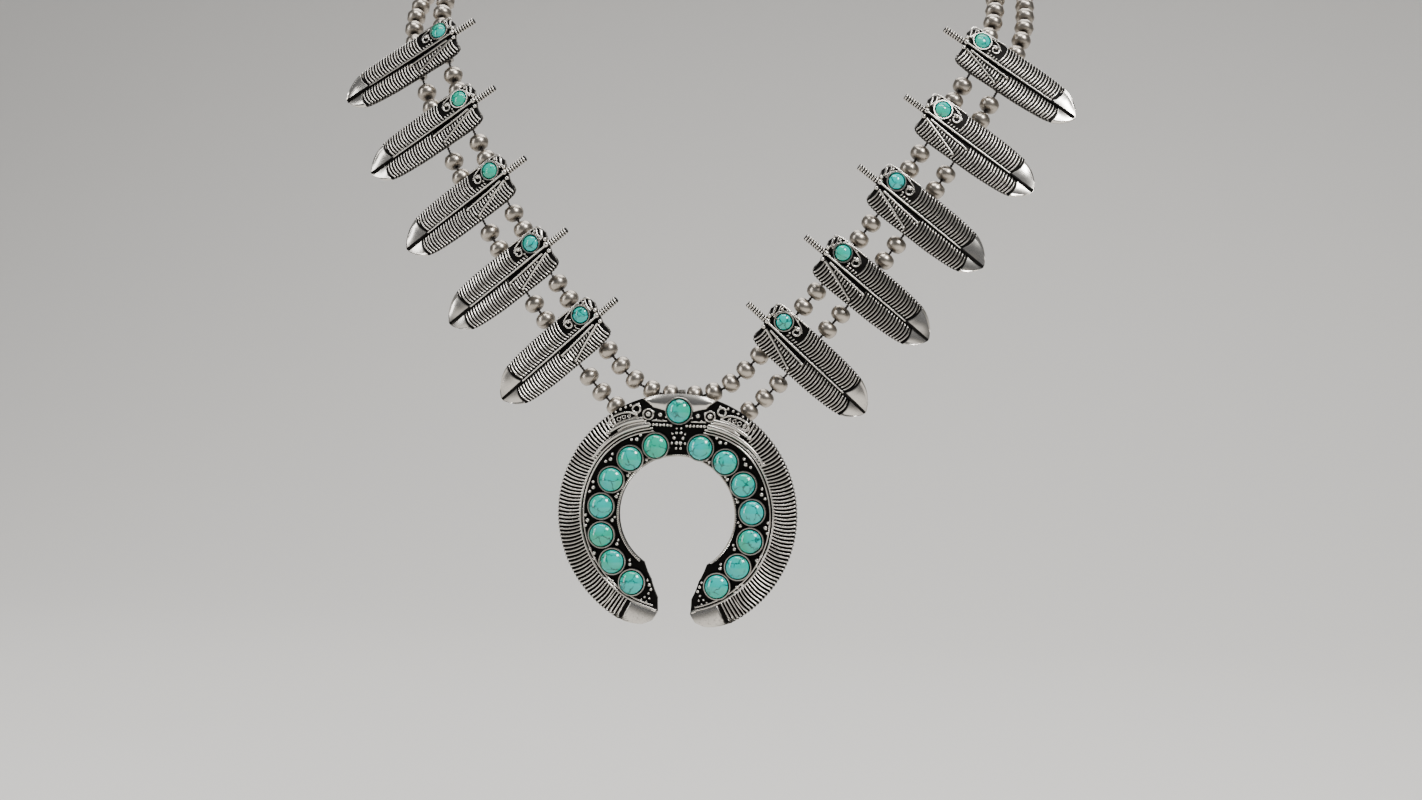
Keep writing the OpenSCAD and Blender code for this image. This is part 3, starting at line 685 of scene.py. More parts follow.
def turquoise_stone():
    """Polished turquoise, the same rock for all the stones."""
    m, tree = new_material("polished_turquoise")
    place = add(tree, "ShaderNodeTexCoord").outputs["Object"]
    stir = add(tree, "ShaderNodeTexNoise", {"Scale": 1 / CROOK_SIZE, "Detail": 4},
               {"Vector": place})
    drift = add(tree, "ShaderNodeVectorMath", {"operation": "MULTIPLY_ADD"},
                {0: stir.outputs["Color"], 2: place})
    drift.inputs[1].default_value = (VEIN_CROOK,) * 3
    veins = add(tree, "ShaderNodeTexVoronoi",
                {"feature": "DISTANCE_TO_EDGE", "Scale": 1 / VEIN_SPACING},
                {"Vector": drift.outputs[0]}).outputs["Distance"]
    line = add(tree, "ShaderNodeMapRange",
               {"From Min": 0.0, "From Max": 0.07, "To Min": 1, "To Max": 0},
               {"Value": veins}).outputs[0]
    patches = add(tree, "ShaderNodeTexNoise", {"Scale": 1 / PATCH_SIZE, "Detail": 2},
                  {"Vector": place})
    where = add(tree, "ShaderNodeMapRange", {"From Min": 0.4, "From Max": 0.55},
                {"Value": patches.outputs["Fac"]})
    vein = add(tree, "ShaderNodeMath", {"operation": "MULTIPLY"},
               {0: line, 1: where.outputs[0]}).outputs[0]
    cloud = add(tree, "ShaderNodeTexNoise", {"Scale": 1 / CLOUD_SIZE, "Detail": 2},
                {"Vector": place})
    blend = add(tree, "ShaderNodeMapRange", {"From Min": 0.42, "From Max": 0.6},
                {"Value": cloud.outputs["Fac"]})
    body = add(tree, "ShaderNodeMix", {"data_type": "RGBA"}, {0: blend.outputs[0]})
    body.inputs[6].default_value = colour(BODY_BLUE)
    body.inputs[7].default_value = colour(BODY_GREEN)
    tint = add(tree, "ShaderNodeMix", {"data_type": "RGBA"}, {0: vein, 6: body.outputs[2]})
    tint.inputs[7].default_value = colour(MATRIX)
    output(tree, add(tree, "ShaderNodeBsdfPrincipled",
                     {"Roughness": 0.12, "IOR": 1.61},
                     {"Base Color": tint.outputs[2]}).outputs[0])
    return m


turquoise = turquoise_stone()
print("turquoise:", len(turquoise.node_tree.nodes), "nodes")


# %% [markdown]
# ## Cabochons and their collars
# A cabochon is ground round and domed, and sits in a bezel: a strip of silver bent
# into a collar, with its lip rubbed over the stone's edge. Both are shapes of turning,
# so each is one profile that is spun. A squashed sphere would give the dome alone,
# without the upright girdle that the collar holds.


# %% Cabochon
GIRDLE = 0.25  # heights are shares of the stone's width
DOME = 0.46
DOME_STEPS = 9
FOOT_CHAMFER = 0.08
POLE = 1e-4  # radius of a profile's end at the axis
STONE_PLAY = 0.1


def cabochon(diameter):
    """A stone that is turned like a button: flat below, an upright girdle, then a dome."""
    rise = (DOME - GIRDLE) * diameter
    r = (diameter**2 / 4 + rise**2) / (2 * rise)
    half = math.asin(diameter / 2 / r)
    slopes = [half * (1 - i / DOME_STEPS) for i in range(DOME_STEPS + 1)]
    dome = [(r * math.sin(a), DOME * diameter - r + r * math.cos(a)) for a in slopes]
    foot = [(POLE, 0), (diameter / 2 - FOOT_CHAMFER, 0), (diameter / 2, FOOT_CHAMFER)]
    return lathe([*foot, *dome[:-1], (POLE, dome[-1][1])], 32)


print("a 6 mm stone stands", round(6 * DOME, 2), "mm high")


# %% Collar of a stone
COLLAR_WALL = 0.6
COLLAR_H = 1.1


def collar(stone_d):
    """The bezel: a strip of silver round the stone, with a dark groove inside it."""
    inner = stone_d / 2 + STONE_PLAY
    outer = inner + COLLAR_WALL
    bm = lathe([(inner, -0.3), (inner, 0.35), (inner + 0.14, 0.25), (inner + 0.18, COLLAR_H - 0.15),
                (inner + 0.28, COLLAR_H), (outer - 0.1, COLLAR_H), (outer, COLLAR_H - 0.2),
                (outer, -0.3), (inner, -0.3)], 40)
    return tone(bm, 0.7, 1.05)


print("a collar adds", round(2 * (STONE_PLAY + COLLAR_WALL), 1), "mm to a stone's width")


# %% [markdown]
# ## Feathers
# Each feather is one casting. A thin plate carries two vanes that slope away from
# the shaft. Their barbs are raised ribs that bow towards the tip, and the tip is
# left smooth and polished. A round quill with rings stands out at the top, and a
# small stone sits beside it on the upper vane. Ribs could be left to a bump in the
# material, but they break up the outline and catch the light one by one, so each
# vane is a fine grid that is lifted point by point.


# %% Outline and ribs of a feather
FEATHER_W = 13
FEATHER_T = 1.1
RIB_PITCH = 0.9
RIB_W = 0.5
RIB_H = 0.45
NOTCH = 0.22  # how deep the rim dips between two ribs
# Outlines of the two vanes: share of the length, share of half the width
STONE_EDGE = [(0.127, 0.5), (0.142, 0.77), (0.187, 0.92), (0.377, 0.98), (0.53, 1), (0.7, 0.99),
              (0.82, 0.92), (0.896, 0.75), (0.957, 0.45), (0.99, 0.15), (1, 0)]
PLAIN_EDGE = [(0.165, 0.3), (0.195, 0.97), (0.53, 1), (0.7, 0.96), (0.863, 0.83), (0.94, 0.57),
              (0.982, 0.24), (1, 0)]


def smoothstep(low, high, x):
    """0 below low, 1 above high, and an even slope with soft ends between them."""
    t = min(1, max(0, (x - low) / (high - low)))
    return t * t * (3 - 2 * t)


def rib_profile(phase):
    """Height of a rib at a phase of its pitch: half round, then a flat gap."""
    d = abs((phase % 1) - 0.5) * 2 * RIB_PITCH / RIB_W
    return math.sqrt(1 - d * d) if d < 1 else 0


print("feather:", FEATHER_LEN, "by", FEATHER_W, "mm, a rib every", RIB_PITCH, "mm")


# %% Where the ribs stand
STONE_TIP = 34.6  # where each vane's smooth tip starts
PLAIN_TIP = 36.9


def stone_side_ribs(u, d):
    """Ribs beyond the scroll, and a few short ones in the corner by the quill."""
    corner = smoothstep(1.9, 2.3, d) * (1 - smoothstep(7.6, 7.9, u))
    by_shaft = smoothstep(12.2, 12.5, u) * (1 - smoothstep(1.2, 1.6, d))
    return max(smoothstep(16.0, 16.3, u), corner, by_shaft)


def plain_side_ribs(u, d):
    """Two long barbs divide the ribs near the quill into smaller vanes."""
    first, second = 1.6 + 0.33 * (u - 8.1), 1.1 + 0.06 * (u - 9.2)
    if u > 21.2:
        return 1
    if u > 19.4:
        return smoothstep(second + 0.3, second + 0.6, d)
    outer = smoothstep(first + 0.2, first + 0.45, d)
    between = (smoothstep(second + 0.3, second + 0.5, d)
               * (1 - smoothstep(first - 0.5, first - 0.3, d)))
    return max(outer * smoothstep(7.0, 7.3, u), 0.8 * between * smoothstep(10.8, 11.2, u))


print("ribs along the plain vane:",
      round((PLAIN_TIP - PLAIN_EDGE[0][0] * FEATHER_LEN) / RIB_PITCH))


# %% Relief of a vane
def vane_relief(u, t, d, tip_at, strength):
    """Height of a vane's face, its relief value and the dip of its rim.

    The place is u mm from the quill's end and d mm from the shaft, at a share t of
    the vane's width."""
    slant = u - 0.8 * (t - 0.5)
    ribbed = strength(u, d) * (1 - smoothstep(tip_at - 0.3, tip_at, slant))
    rib = ribbed * rib_profile(u / RIB_PITCH)
    tip = smoothstep(tip_at + 0.2, tip_at + 0.6, slant)
    ends = smoothstep(0.02, 0.14, t) * (1 - smoothstep(0.95, 1, t))
    rim = smoothstep(0.84, 0.9, t) * (1 - smoothstep(0.95, 1, t))
    height = RIB_H * rib * ends + tip * (0.12 + 0.2 * rim) * (1 - smoothstep(0.95, 1, t))
    shine = max(rib * (0.3 + 0.7 * ends), tip * (0.8 + 0.2 * rim), 0.04)
    return height, shine, NOTCH * (1 - rib) * ribbed * smoothstep(0.85, 1, t)


# %% One vane
RIB_SAMPLES = 9  # grid lines to a rib, so that it is round
VANE_ROWS = 16
BY_SHAFT = 0.12  # where a vane starts beside the shaft's middle line
VANE_CROWN = 0.45
TIP_SLOPES_FROM = 6  # the vane sinks over this last length


def vane(edge, side, bow, tip_at, strength):
    """One vane: a grid bent to the vane's outline, with its ribs raised on it.

    strength(u, d) says how strong the ribs are. The smooth tip starts at tip_at."""
    outline = curve_through(edge, 6)
    order = np.argsort(outline[:, 0])
    start = outline[0][0] * FEATHER_LEN
    end = FEATHER_LEN - 0.15
    count = int((end - start) / RIB_PITCH * RIB_SAMPLES)
    bm = bmesh.new()
    bmesh.ops.create_grid(bm, x_segments=count, y_segments=VANE_ROWS, size=0.5)
    layer = bm.verts.layers.float.new(RELIEF)
    for v in bm.verts:
        s, t = v.co.x + 0.5, v.co.y + 0.5
        u = start + s * (end - start)
        width = np.interp(u / FEATHER_LEN, *outline[order].T) * FEATHER_W / 2
        d = BY_SHAFT + t * max(width - BY_SHAFT, 0)
        height, v[layer], notch = vane_relief(u, t, d, tip_at, strength)
        fade = smoothstep(0, TIP_SLOPES_FROM, FEATHER_LEN - u)
        crown = VANE_CROWN * math.sin(math.pi * (0.12 + 0.8 * t)) * fade
        v.co = Vector((u + bow * math.sin(math.pi * t) * fade, side * (d - notch),
                       FEATHER_T - 0.2 + crown + height))
    close_below(bm, 0.4)
    return bm


stone_vane = vane(STONE_EDGE, 1, 0.75, STONE_TIP, stone_side_ribs)
plain_vane = vane(PLAIN_EDGE, -1, 0.6, PLAIN_TIP, plain_side_ribs)
print("vanes:", len(stone_vane.faces), "and", len(plain_vane.faces), "faces")


# %% Quill
QUILL_LEN = 6.2
QUILL_D = 2.1
QUILL_RINGS = 8
# One ring: share of its length, share of the quill's radius
QUILL_RING = ((0.04, 0.7), (0.26, 0.72), (0.4, 0.94), (0.6, 1.0), (0.8, 0.94), (0.94, 0.72))


def quill():
    """The ringed quill, along X from its open end."""
    step = QUILL_LEN / QUILL_RINGS
    profile = [(POLE, 0), (0.55 * QUILL_D / 2, 0)]
    for i in range(QUILL_RINGS):
        profile += [(r * QUILL_D / 2, (i + t) * step) for t, r in QUILL_RING]
    profile += [(0.36 * QUILL_D, QUILL_LEN + 0.3), (0.36 * QUILL_D, QUILL_LEN + 1.6),
                (POLE, QUILL_LEN + 1.6)]
    bm = lathe(profile, 20)
    layer = bm.verts.layers.float.new(RELIEF)
    for v in bm.verts:
        v[layer] = smoothstep(0.78, 0.95, 2 * math.hypot(v.co.x, v.co.y) / QUILL_D)
    return along_x(bm)


print("a ring of the quill every", round(QUILL_LEN / QUILL_RINGS, 2), "mm")


# %% [markdown]
# ### The raised work of a feather
# A shaft line runs from the quill to the tip, with a bright thin crest between dark
# flanks. Two barbs branch off beside it, a wire runs round the stone's collar and ends
# in an open scroll, and granules fill the corners. On the real piece these are wires
# and shot soldered to the pattern before it is moulded, so each is a bar or a ball.


# %% Places of the raised work
FEATHER_STONE_D = 4
STONE_ALONG = 10.2
STONE_ASIDE = 3
SCROLL_R = 1.25
SCROLL_MIDDLE = (14.4, 3.2)
SCROLL_START, SCROLL_END = 150, -215  # degrees
# Places are (length, width) on the feather; a barb ends with its first and last radius
BARBS = (((8.1, -1.6), (13.5, -3.3), (19.0, -5.2), 0.34, 0.24),
         ((9.2, -1.1), (15, -1.5), (21.0, -1.8), 0.34, 0.24))
EDGE_WIRE = ((5.7, 4.6), (6.2, 5.6), (8.2, 6.0), (12, 6.15), (15.8, 6.25))
COLLAR_WIRES = (((8.4, 5.1), (10.3, 5.85), (12.6, 5.5), (14.6, 4.9), (15.8, 3.9)),
                ((8.4, 5.1), (7.5, 3.8), (6.8, 2.1)))
# Granules: length, width, diameter
FEATHER_GRANULES = ((7.2, -1.6, 1.3), (6.4, 1.5, 1.2), (21.2, -1.9, 0.9), (7.0, 0.2, 1.7),
                    (19.2, -5.3, 0.8), (14.2, 3.9, 1.1), (7.6, 5.1, 0.8), (12.8, 5.5, 0.7),
                    (13.3, 1.9, 0.7), (8.9, 5.7, 0.6))
print("granules on a feather:", len(FEATHER_GRANULES))


# %% Wires, scroll and granules
def feather_wire(bm, places, radius, z, low, high):
    """A wire that lies that high over the feather's face."""
    line = curve_through(places, 5)
    add_wire(bm, [(x, y, FEATHER_T + z) for x, y in line], radius, low, high)


def scroll():
    """The open spiral beside the stone: it narrows by 0.25 mm each half turn."""
    x, y = SCROLL_MIDDLE
    turns = np.radians(np.arange(SCROLL_START, SCROLL_END, -15))
    radii = [SCROLL_R + 0.25 * (a - math.radians(SCROLL_START)) / math.pi for a in turns]
    return [(x + r * math.cos(a), y + r * math.sin(a), FEATHER_T + 0.45)
            for a, r in zip(turns, radii)]


def feather_ornament():
    """Barbs, granules, the collar and its wires."""
    bm = shape()
    for *path, start, end in BARBS:
        line = curve_through(path, 5)
        add_wire(bm, [(x, y, FEATHER_T + 0.5) for x, y in line],
                 np.linspace(start, end, len(line)), 1.3, 1.85)
    feather_wire(bm, EDGE_WIRE, 0.22, 0.2, 0.9, 1.4)
    for x, y, d in FEATHER_GRANULES:
        add_granule(bm, (x, y, FEATHER_T + 0.4), d, 0.2, 0.3)
    join(bm, collar(FEATHER_STONE_D), Matrix.Translation((STONE_ALONG, STONE_ASIDE, FEATHER_T)))
    add_wire(bm, scroll(), 0.26, 1.3, 1.75)
    for places in COLLAR_WIRES:
        feather_wire(bm, places, 0.2, 0.4, 1.2, 1.6)
    return bm


print("scroll:", len(scroll()), "points on the wire")


# %% One feather
SHAFT_D = 1.7
SHAFT_TIP_D = 0.7
PLATE_INSET = 0.15  # the plate keeps this far inside the vanes' rims


def feather_shape():
    """The whole casting, face up, from the quill's end at the origin."""
    half = FEATHER_W / 2 - PLATE_INSET
    bm = shape()
    upper, lower = curve_through(STONE_EDGE, 4), curve_through(PLAIN_EDGE, 4)
    outline = [(u * FEATHER_LEN, v * half) for u, v in upper]
    outline += [(u * FEATHER_LEN, -v * half) for u, v in lower[::-1][1:]]
    join(bm, tone(slab(outline, 0, FEATHER_T - 0.3, 0.15), value=0.45))
    join(bm, stone_vane)
    join(bm, plain_vane)
    spine = np.linspace(QUILL_LEN + 0.4, FEATHER_LEN - 0.3, 24)
    thick = np.interp(spine, [spine[0], spine[-1]], [SHAFT_D / 2 - 0.15, SHAFT_TIP_D / 2])
    join(bm, tone(bar([(u, 0, FEATHER_T + 0.28) for u in spine], thick, 10), value=0.15))
    crest = [(u, 0, FEATHER_T + 0.12 + r) for u, r in zip(spine, thick) if u < STONE_TIP + 0.5]
    join(bm, tone(bar(crest, np.linspace(0.3, 0.22, len(crest)), 8), value=1))
    join(bm, quill(), Matrix.Translation((0, 0, QUILL_D / 2)))
    join(bm, feather_ornament())
    return bm


feather = feather_shape()
print("feather:", len(feather.faces), "faces")


# %% [markdown]
# ### Tubes on the back
# Each feather hangs on both strands by two short tubes soldered to its back. The tubes
# follow the strands, which aren't parallel to the feather, so they are placed by the
# strands' own frames and joined to the casting there.


# %% Stringing tube
EDGE_ROUND = 0.15


def stringing_tube():
    """A tube along X and the web that joins it to the feather's back."""
    bore = THREAD_D / 2 + BORE_PLAY
    r = TUBE_D / 2
    half = TUBE_LEN / 2
    bm = along_x(lathe([(bore, -half), (r - EDGE_ROUND, -half), (r, -half + EDGE_ROUND),
                        (r, half - EDGE_ROUND), (r - EDGE_ROUND, half),
                        (bore, half), (bore, -half)], 20))
    web = block(TUBE_LEN - 0.6, TUBE_D / 2, BACK_OFF - r + 0.3,
                (0, 0, BACK_OFF / 2 + r / 2 + 0.05))
    bmesh.ops.bevel(web, geom=web.edges, offset=0.12, segments=2, profile=0.5, affect="EDGES",
                    material=-1)
    join(bm, web)
    return tone(bm, value=0.55)


tube = stringing_tube()
print("tube:", len(tube.faces), "faces")


# %% Place the feathers and their stones
stone_seat = Matrix.Translation((STONE_ALONG, STONE_ASIDE, FEATHER_T + STONE_PLAY))
for k in range(FEATHERS):
    number = FEATHERS - k
    for side, flip in SIDES:
        bm = shape()
        join(bm, feather, feather_frame(k), keep=True)
        for name in STRANDS:
            at = STRANDS[name]["tubes"][k]
            join(bm, tube, on_strand(name, at - TUBE_LEN / 2, at + TUBE_LEN / 2), keep=True)
        piece(f"cast_feather_{side}_{number}", bm, cast_silver,
              [f"feather_{side}_{number}"], flip)
        stone = cabochon(FEATHER_STONE_D)
        stone.transform(feather_frame(k) @ stone_seat)
        piece(f"feather_cabochon_{side}_{number}", stone, turquoise,
              [f"feather_stone_{side}_{number}"], flip)
feather.free()
tube.free()
print("feathers placed:", 2 * FEATHERS)


# %% [markdown]
# ## Beads
# A bead is two low domes stamped from sheet and soldered at the middle, so it is
# wider than it is long. The seam is lighter, partly from polish and partly as a painted
# highlight, and the ends are darker towards the holes, partly tarnish and partly painted shade.
# One bead is turned from its profile and copied to its places. There are 208 of them,
# so it has only ten sides, and shading makes them look round.


# %% Bead strings
BEAD_BORE = 1.1
BEAD_HALF = 2.02  # from the seam to the end round a hole
BEAD_SIDES = 10
# Profile of one half: shares of the radius and of the half length
BEAD_PROFILE = [(BEAD_BORE / BEAD_D, 0.96), (0.42, 1), (0.76, 0.8), (0.93, 0.45), (0.99, 0.08)]
# Relief value by the share of the radius: light at the seam, partly polish and partly
# a painted highlight, and dark by the holes, partly tarnish and partly painted shade
BEAD_WEAR_AND_PAINTED_LIGHT = [0.25, 0.42, 0.76, 0.93, 0.98], [0, 0.25, 0.5, 0.62, 1]


def bead():
    """One bead, strung along X."""
    r = BEAD_D / 2
    dome = [(x * r, z * BEAD_HALF) for x, z in BEAD_PROFILE]
    bm = lathe(dome + [(x, -z) for x, z in dome[::-1]] + dome[:1], BEAD_SIDES)
    layer = bm.verts.layers.float.new(RELIEF)
    for v in bm.verts:
        # Painted highlight on the seam and painted shade by the holes, along with wear and tarnish
        v[layer] = np.interp(math.hypot(v.co.x, v.co.y) / r, *BEAD_WEAR_AND_PAINTED_LIGHT)
    return along_x(bm)


one_bead = bead()
for name in STRANDS:
    for side, flip in SIDES:
        bm = shape()
        for start in STRANDS[name]["beads"]:
            join(bm, one_bead, on_strand(name, start, start + BEAD_PITCH), keep=True)
        piece(f"silver_beads_{name}_{side}", bm, bead_silver,
              [f"{name}_beads_{side}"], flip)
print("bead:", len(one_bead.faces), "faces")
one_bead.free()


# %% [markdown]
# ## The naja
# The crescent is one casting too. It is drawn flat, seen from the front, with angles
# in degrees from the top. Its outer band is two long feathers whose ribs run out to
# the rim, and its inner band is sunk and dark and holds the stones in round collars.
# The plate could be cut from a disc, but then its ribs wouldn't follow the arc. So it
# is a grid that is bent round the arc, lifted where ribs stand, and closed below.


# %% Crescent sizes
CRESCENT_R = 32
OPENING_R = 15.4
SHAFT_R = 25.5  # the line between the two bands
CRESCENT_T = 1.6
FACE = CRESCENT_T
STONE_D = 6
SIDE_STONES = 7
STONE_PITCH = 7.65
STONE_ROW_R = 20.4
STONE_ROW_DROP = 1.5  # the middle of the stones' circle lies this far below the crescent's
FIRST_STONE = 17.1
STONE_STEP = math.degrees(STONE_PITCH / STONE_ROW_R)
TOP_STONE = 27.5
# Where each ring of the crescent ends: radius, degrees from the top
ENDS = [(15.4, 147), (16.3, 151), (18.6, 160), (22.7, 168.5), (26.5, 170.5), (28.9, 168.5),
        (30.6, 164), (31.5, 158), (32, 151.5)]
END_TRIM = 0.09  # degrees
TOP_ABOVE_ROW = 4.9  # from the strands at the pendant up to the crescent's top
PENDANT_Z = ROUTE[0][2] + TOP_ABOVE_ROW - CRESCENT_R
PENDANT = frame_matrix((0, ROUTE[0][1] - BACK_OFF, PENDANT_Z),
                       (1, 0, 0), (0, 0, 1), (0, -1, 0))


def polar(degrees, r, z=0.0):
    """A place on the crescent, by its angle from the top."""
    a = math.radians(degrees)
    return Vector((r * math.sin(a), r * math.cos(a), z))


def stone_row(i, out=0):
    """A place on the row of side stones: i counts stones, out is how far outside the row."""
    return (polar(FIRST_STONE + i * STONE_STEP, STONE_ROW_R + out)
            + Vector((0, -STONE_ROW_DROP, 0)))


print("naja:", 2 * CRESCENT_R, "mm across, stones every", round(STONE_STEP, 1), "degrees")


# %% Ribs, saddle and tip of one half
CRESCENT_RIB_PITCH = 1.08
RIB_DEGREES = math.degrees(CRESCENT_RIB_PITCH / CRESCENT_R)
RIBS_FROM, RIBS_TO = 34, 152
ROOTS_UNTIL = 58  # up to here the barbs hide the inner ends of the ribs
# Lower edge of the smooth saddle beside the top stone: degrees, radius
SADDLE_FOOT = [0, 8, 14, 18.5], [27.0, 27.4, 28.8, 32.1]
SADDLE_H = 0.75
BAND_CROWN = 0.5
SUNK = 0.2  # the inner band lies this far below the face


def crescent_relief(a, r):
    """Height over the face at an angle and a radius, relief value and dip of the rim."""
    t = (r - SHAFT_R) / (CRESCENT_R - SHAFT_R)
    root = smoothstep(ROOTS_UNTIL, RIBS_FROM, a) * 0.35
    ribbed = 1 if RIBS_FROM <= a <= RIBS_TO and t > root + 0.04 else 0
    rib = ribbed * rib_profile((a - RIBS_FROM) / RIB_DEGREES)
    foot = np.interp(a, *SADDLE_FOOT)
    from_stone = (polar(a, r) - Vector((0, TOP_STONE, 0))).length
    seat = smoothstep(STONE_D / 2, STONE_D / 2 + 0.6, from_stone)
    saddle = smoothstep(foot, foot + 0.6, r) * seat
    swell = math.sin(math.pi * min(1, max(0, (r - foot) / (CRESCENT_R - foot)))) if saddle else 0
    tip = smoothstep(RIBS_TO + 1, RIBS_TO + 2.5, a) * smoothstep(0.05, 0.12, t)
    edge = 1 - smoothstep(0.94, 1, t)
    crown = BAND_CROWN * math.sin(math.pi * min(1, max(0, 0.15 + 0.85 * t))) if t > 0 else 0
    floor = -SUNK if t < 0 else 0
    height = (rib * RIB_H * edge + saddle * SADDLE_H * swell + tip * (0.3 + 0.3 * crown) * edge
              + crown * 0.6 * seat + floor)
    shine = max(rib * (0.5 + 0.5 * edge), saddle, 0.75 * tip, 0.05)
    return height, shine, NOTCH * (1 - rib) * ribbed * smoothstep(0.88, 1, t)


print("ribs on each side of the naja:", round((RIBS_TO - RIBS_FROM) / RIB_DEGREES))


# %% One half of the crescent's face
GRID_ARC = 170  # degrees
FULL_ARC = 143  # up to here every ring follows the arc, and then runs to its own end
ARC_SAMPLES = 9  # grid lines to a rib
INNER_LANES, OUTER_LANES = 13, 18
RIB_BOW = 0.9  # degrees that a rib bows towards the tip
INNER_LIP = 0.35


def arc_angle(s, r):
    """The angle of the grid line at a share s of the arc, on the ring of that radius."""
    end = np.interp(r, [e[0] for e in ENDS], [e[1] for e in ENDS]) - END_TRIM
    split = FULL_ARC / GRID_ARC
    if s < split:
        return s / split * FULL_ARC
    return FULL_ARC + (s - split) / (1 - split) * (end - FULL_ARC)


def crescent_half():
    """Half of the crescent's face: a grid bent round an arc, ribs and all."""
    bm = bmesh.new()
    bmesh.ops.create_grid(bm, x_segments=int(GRID_ARC / RIB_DEGREES * ARC_SAMPLES),
                          y_segments=INNER_LANES + OUTER_LANES - 1, size=0.5)
    layer = bm.verts.layers.float.new(RELIEF)
    radii = np.concatenate([np.linspace(OPENING_R, SHAFT_R - 0.4, INNER_LANES),
                            np.linspace(SHAFT_R, CRESCENT_R, OUTER_LANES)])
    for v in bm.verts:
        s, q = v.co.x + 0.5, v.co.y + 0.5
        r = np.interp(q, np.linspace(0, 1, len(radii)), radii)
        a = arc_angle(s, r)
        height, v[layer], notch = crescent_relief(a, r)
        band = max((r - SHAFT_R) / (CRESCENT_R - SHAFT_R), 0)
        bow = RIB_BOW * math.sin(math.pi * band) * smoothstep(20, RIBS_FROM, a)
        lip = INNER_LIP * (1 - smoothstep(0, 0.08, q))
        v.co = polar(a + (bow if a < FULL_ARC else 0), r - notch,
                     CRESCENT_T + height - lip * 0.5)
    bmesh.ops.recalc_face_normals(bm, faces=bm.faces)
    return bm


# %% The whole plate
def crescent_plate():
    """Both halves joined at the top, and closed to a flat back."""
    bm = shape()
    half = crescent_half()
    join(bm, half, keep=True)
    join(bm, half, LEFT)
    bmesh.ops.remove_doubles(bm, verts=bm.verts, dist=WELD)
    close_below(bm, 0)
    layer = bm.verts.layers.float.get(RELIEF)
    for v in bm.verts:
        if v.co.z < 0.01:
            v[layer] = 0.5
    return bm


naja = crescent_plate()
print("crescent plate:", len(naja.faces), "faces")


# %% [markdown]
# ### The raised work of the naja
# A rope of two twisted wires edges the opening. Two long wires part the bands, and at
# the top barbs, rings, granules and a teardrop of wire fill the space beside the
# saddle. A silversmith solders these on one by one, and so does this notebook. Places
# are in degrees from the top and millimetres from the crescent's middle.


# %% Rope wire
def rope(start, end, r, wire, z, lay):
    """Two wires twisted together along an arc; lay is the length of one turn."""
    bm = shape()
    length = math.radians(end - start) * r
    count = int(length / lay * 8)
    for phase in (0, math.pi):
        path = []
        for i in range(count + 1):
            s = i / count
            twist = math.tau * s * length / lay + phase
            path.append(polar(start + s * (end - start),
                              r + wire * math.cos(twist), z + wire * math.sin(twist)))
        add_wire(bm, path, wire, z - wire, z + wire, 6)
    return bm


# %% Long wires and barbs
# Distance from the dividing line, wire radius
DIVIDING_WIRES = ((0.3, 0.3), (-0.55, 0.24))
# The dividing line runs nearer to the middle beside the top: degrees, radius
DIVIDING_LINE = [17, 28, 40, 52, 65], [23.4, 24.3, 25.1, 25.5, SHAFT_R]
# A barb's places, then its first and last radius
CRESCENT_BARBS = (((20.5, 26.7), (30, 27.7), (40.5, 28.2), 0.75, 0.45),
                  ((18.3, 24.9), (32, 25.9), (45, 26.6), (57, 26.8), 0.75, 0.4),
                  ((19.5, 25.8), (30, 26.8), (37, 27.0), 0.5, 0.3))


def long_wires(bm):
    """The wires between the bands, their polished end, and the barbs beside the top."""
    for offset, radius in DIVIDING_WIRES:
        angles = np.arange(DIVIDING_LINE[0][0], 168.1, 2.5)
        line = np.interp(angles, *DIVIDING_LINE) + offset
        add_wire(bm, [polar(a, r, FACE + 0.3) for a, r in zip(angles, line)], radius,
                 FACE + 0.25, FACE + 0.5)
    add_wire(bm, [polar(167, 25.9, FACE + 0.4), polar(169.5, 26.2, FACE + 0.45)],
             [0.5, 0.4], 1.5, 2.0)
    for *places, start, end in CRESCENT_BARBS:
        line = curve_through(places, 6)
        add_wire(bm, [polar(a, r, FACE + 0.55) for a, r in line],
                 np.linspace(start, end, len(line)), FACE + 0.4, FACE + 1.0, 10)


print("barbs on each side of the naja:", len(CRESCENT_BARBS))


# %% Granules, rings and the teardrop beside the top stone
# Granules: degrees, radius, diameter
TOP_GRANULES = ((41.8, 28.3, 1.3), (57.9, 26.8, 1.2), (10.8, 26.8, 1.3), (17.4, 27.6, 1.5),
                (14.2, 27.9, 0.7), (24.5, 31.3, 0.8), (27.2, 31.4, 0.8), (29.9, 31.5, 0.8),
                (32.6, 31.5, 0.7), (20.6, 30.9, 0.8), (41, 30.4, 0.7), (41.5, 29.6, 0.6),
                (13.6, 25.6, 0.7), (7.6, 26.0, 0.7))
TEARDROP = ((23.2, 28.2), (27, 29.9), (32, 30.7), (36.3, 30.8), (38.4, 30.0), (37.6, 29.0),
            (32, 28.5), (27, 28.1), (23.2, 27.9))
# Rings inside the teardrop: degrees, radius, diameter
TEARDROP_RINGS = ((27.6, 28.9, 0.7), (30.2, 29.3, 0.9), (33.0, 29.5, 1.0), (35.9, 29.8, 0.8))


def top_ornament(bm):
    """What fills the outer band between the saddle and the first rib."""
    for a, r, d in TOP_GRANULES:
        add_granule(bm, polar(a, r, FACE + 0.35), d, 0.2, 0.35)
    add_ring(bm, polar(17.4, 27.6, FACE + 0.4), 1.35, 0.24, 0.2)
    add_ring(bm, polar(22.4, 29.9, FACE + 0.5), 1.05, 0.28, 0.2)
    add_wire(bm, [polar(a, r, FACE + 0.5) for a, r in curve_through(TEARDROP, 4)], 0.27,
             FACE + 0.4, FACE + 0.7)
    for a, r, d in TEARDROP_RINGS:
        add_ring(bm, polar(a, r, FACE + 0.4), d / 2, 0.13, 0.1)


print("granules beside the top stone:", 2 * len(TOP_GRANULES))


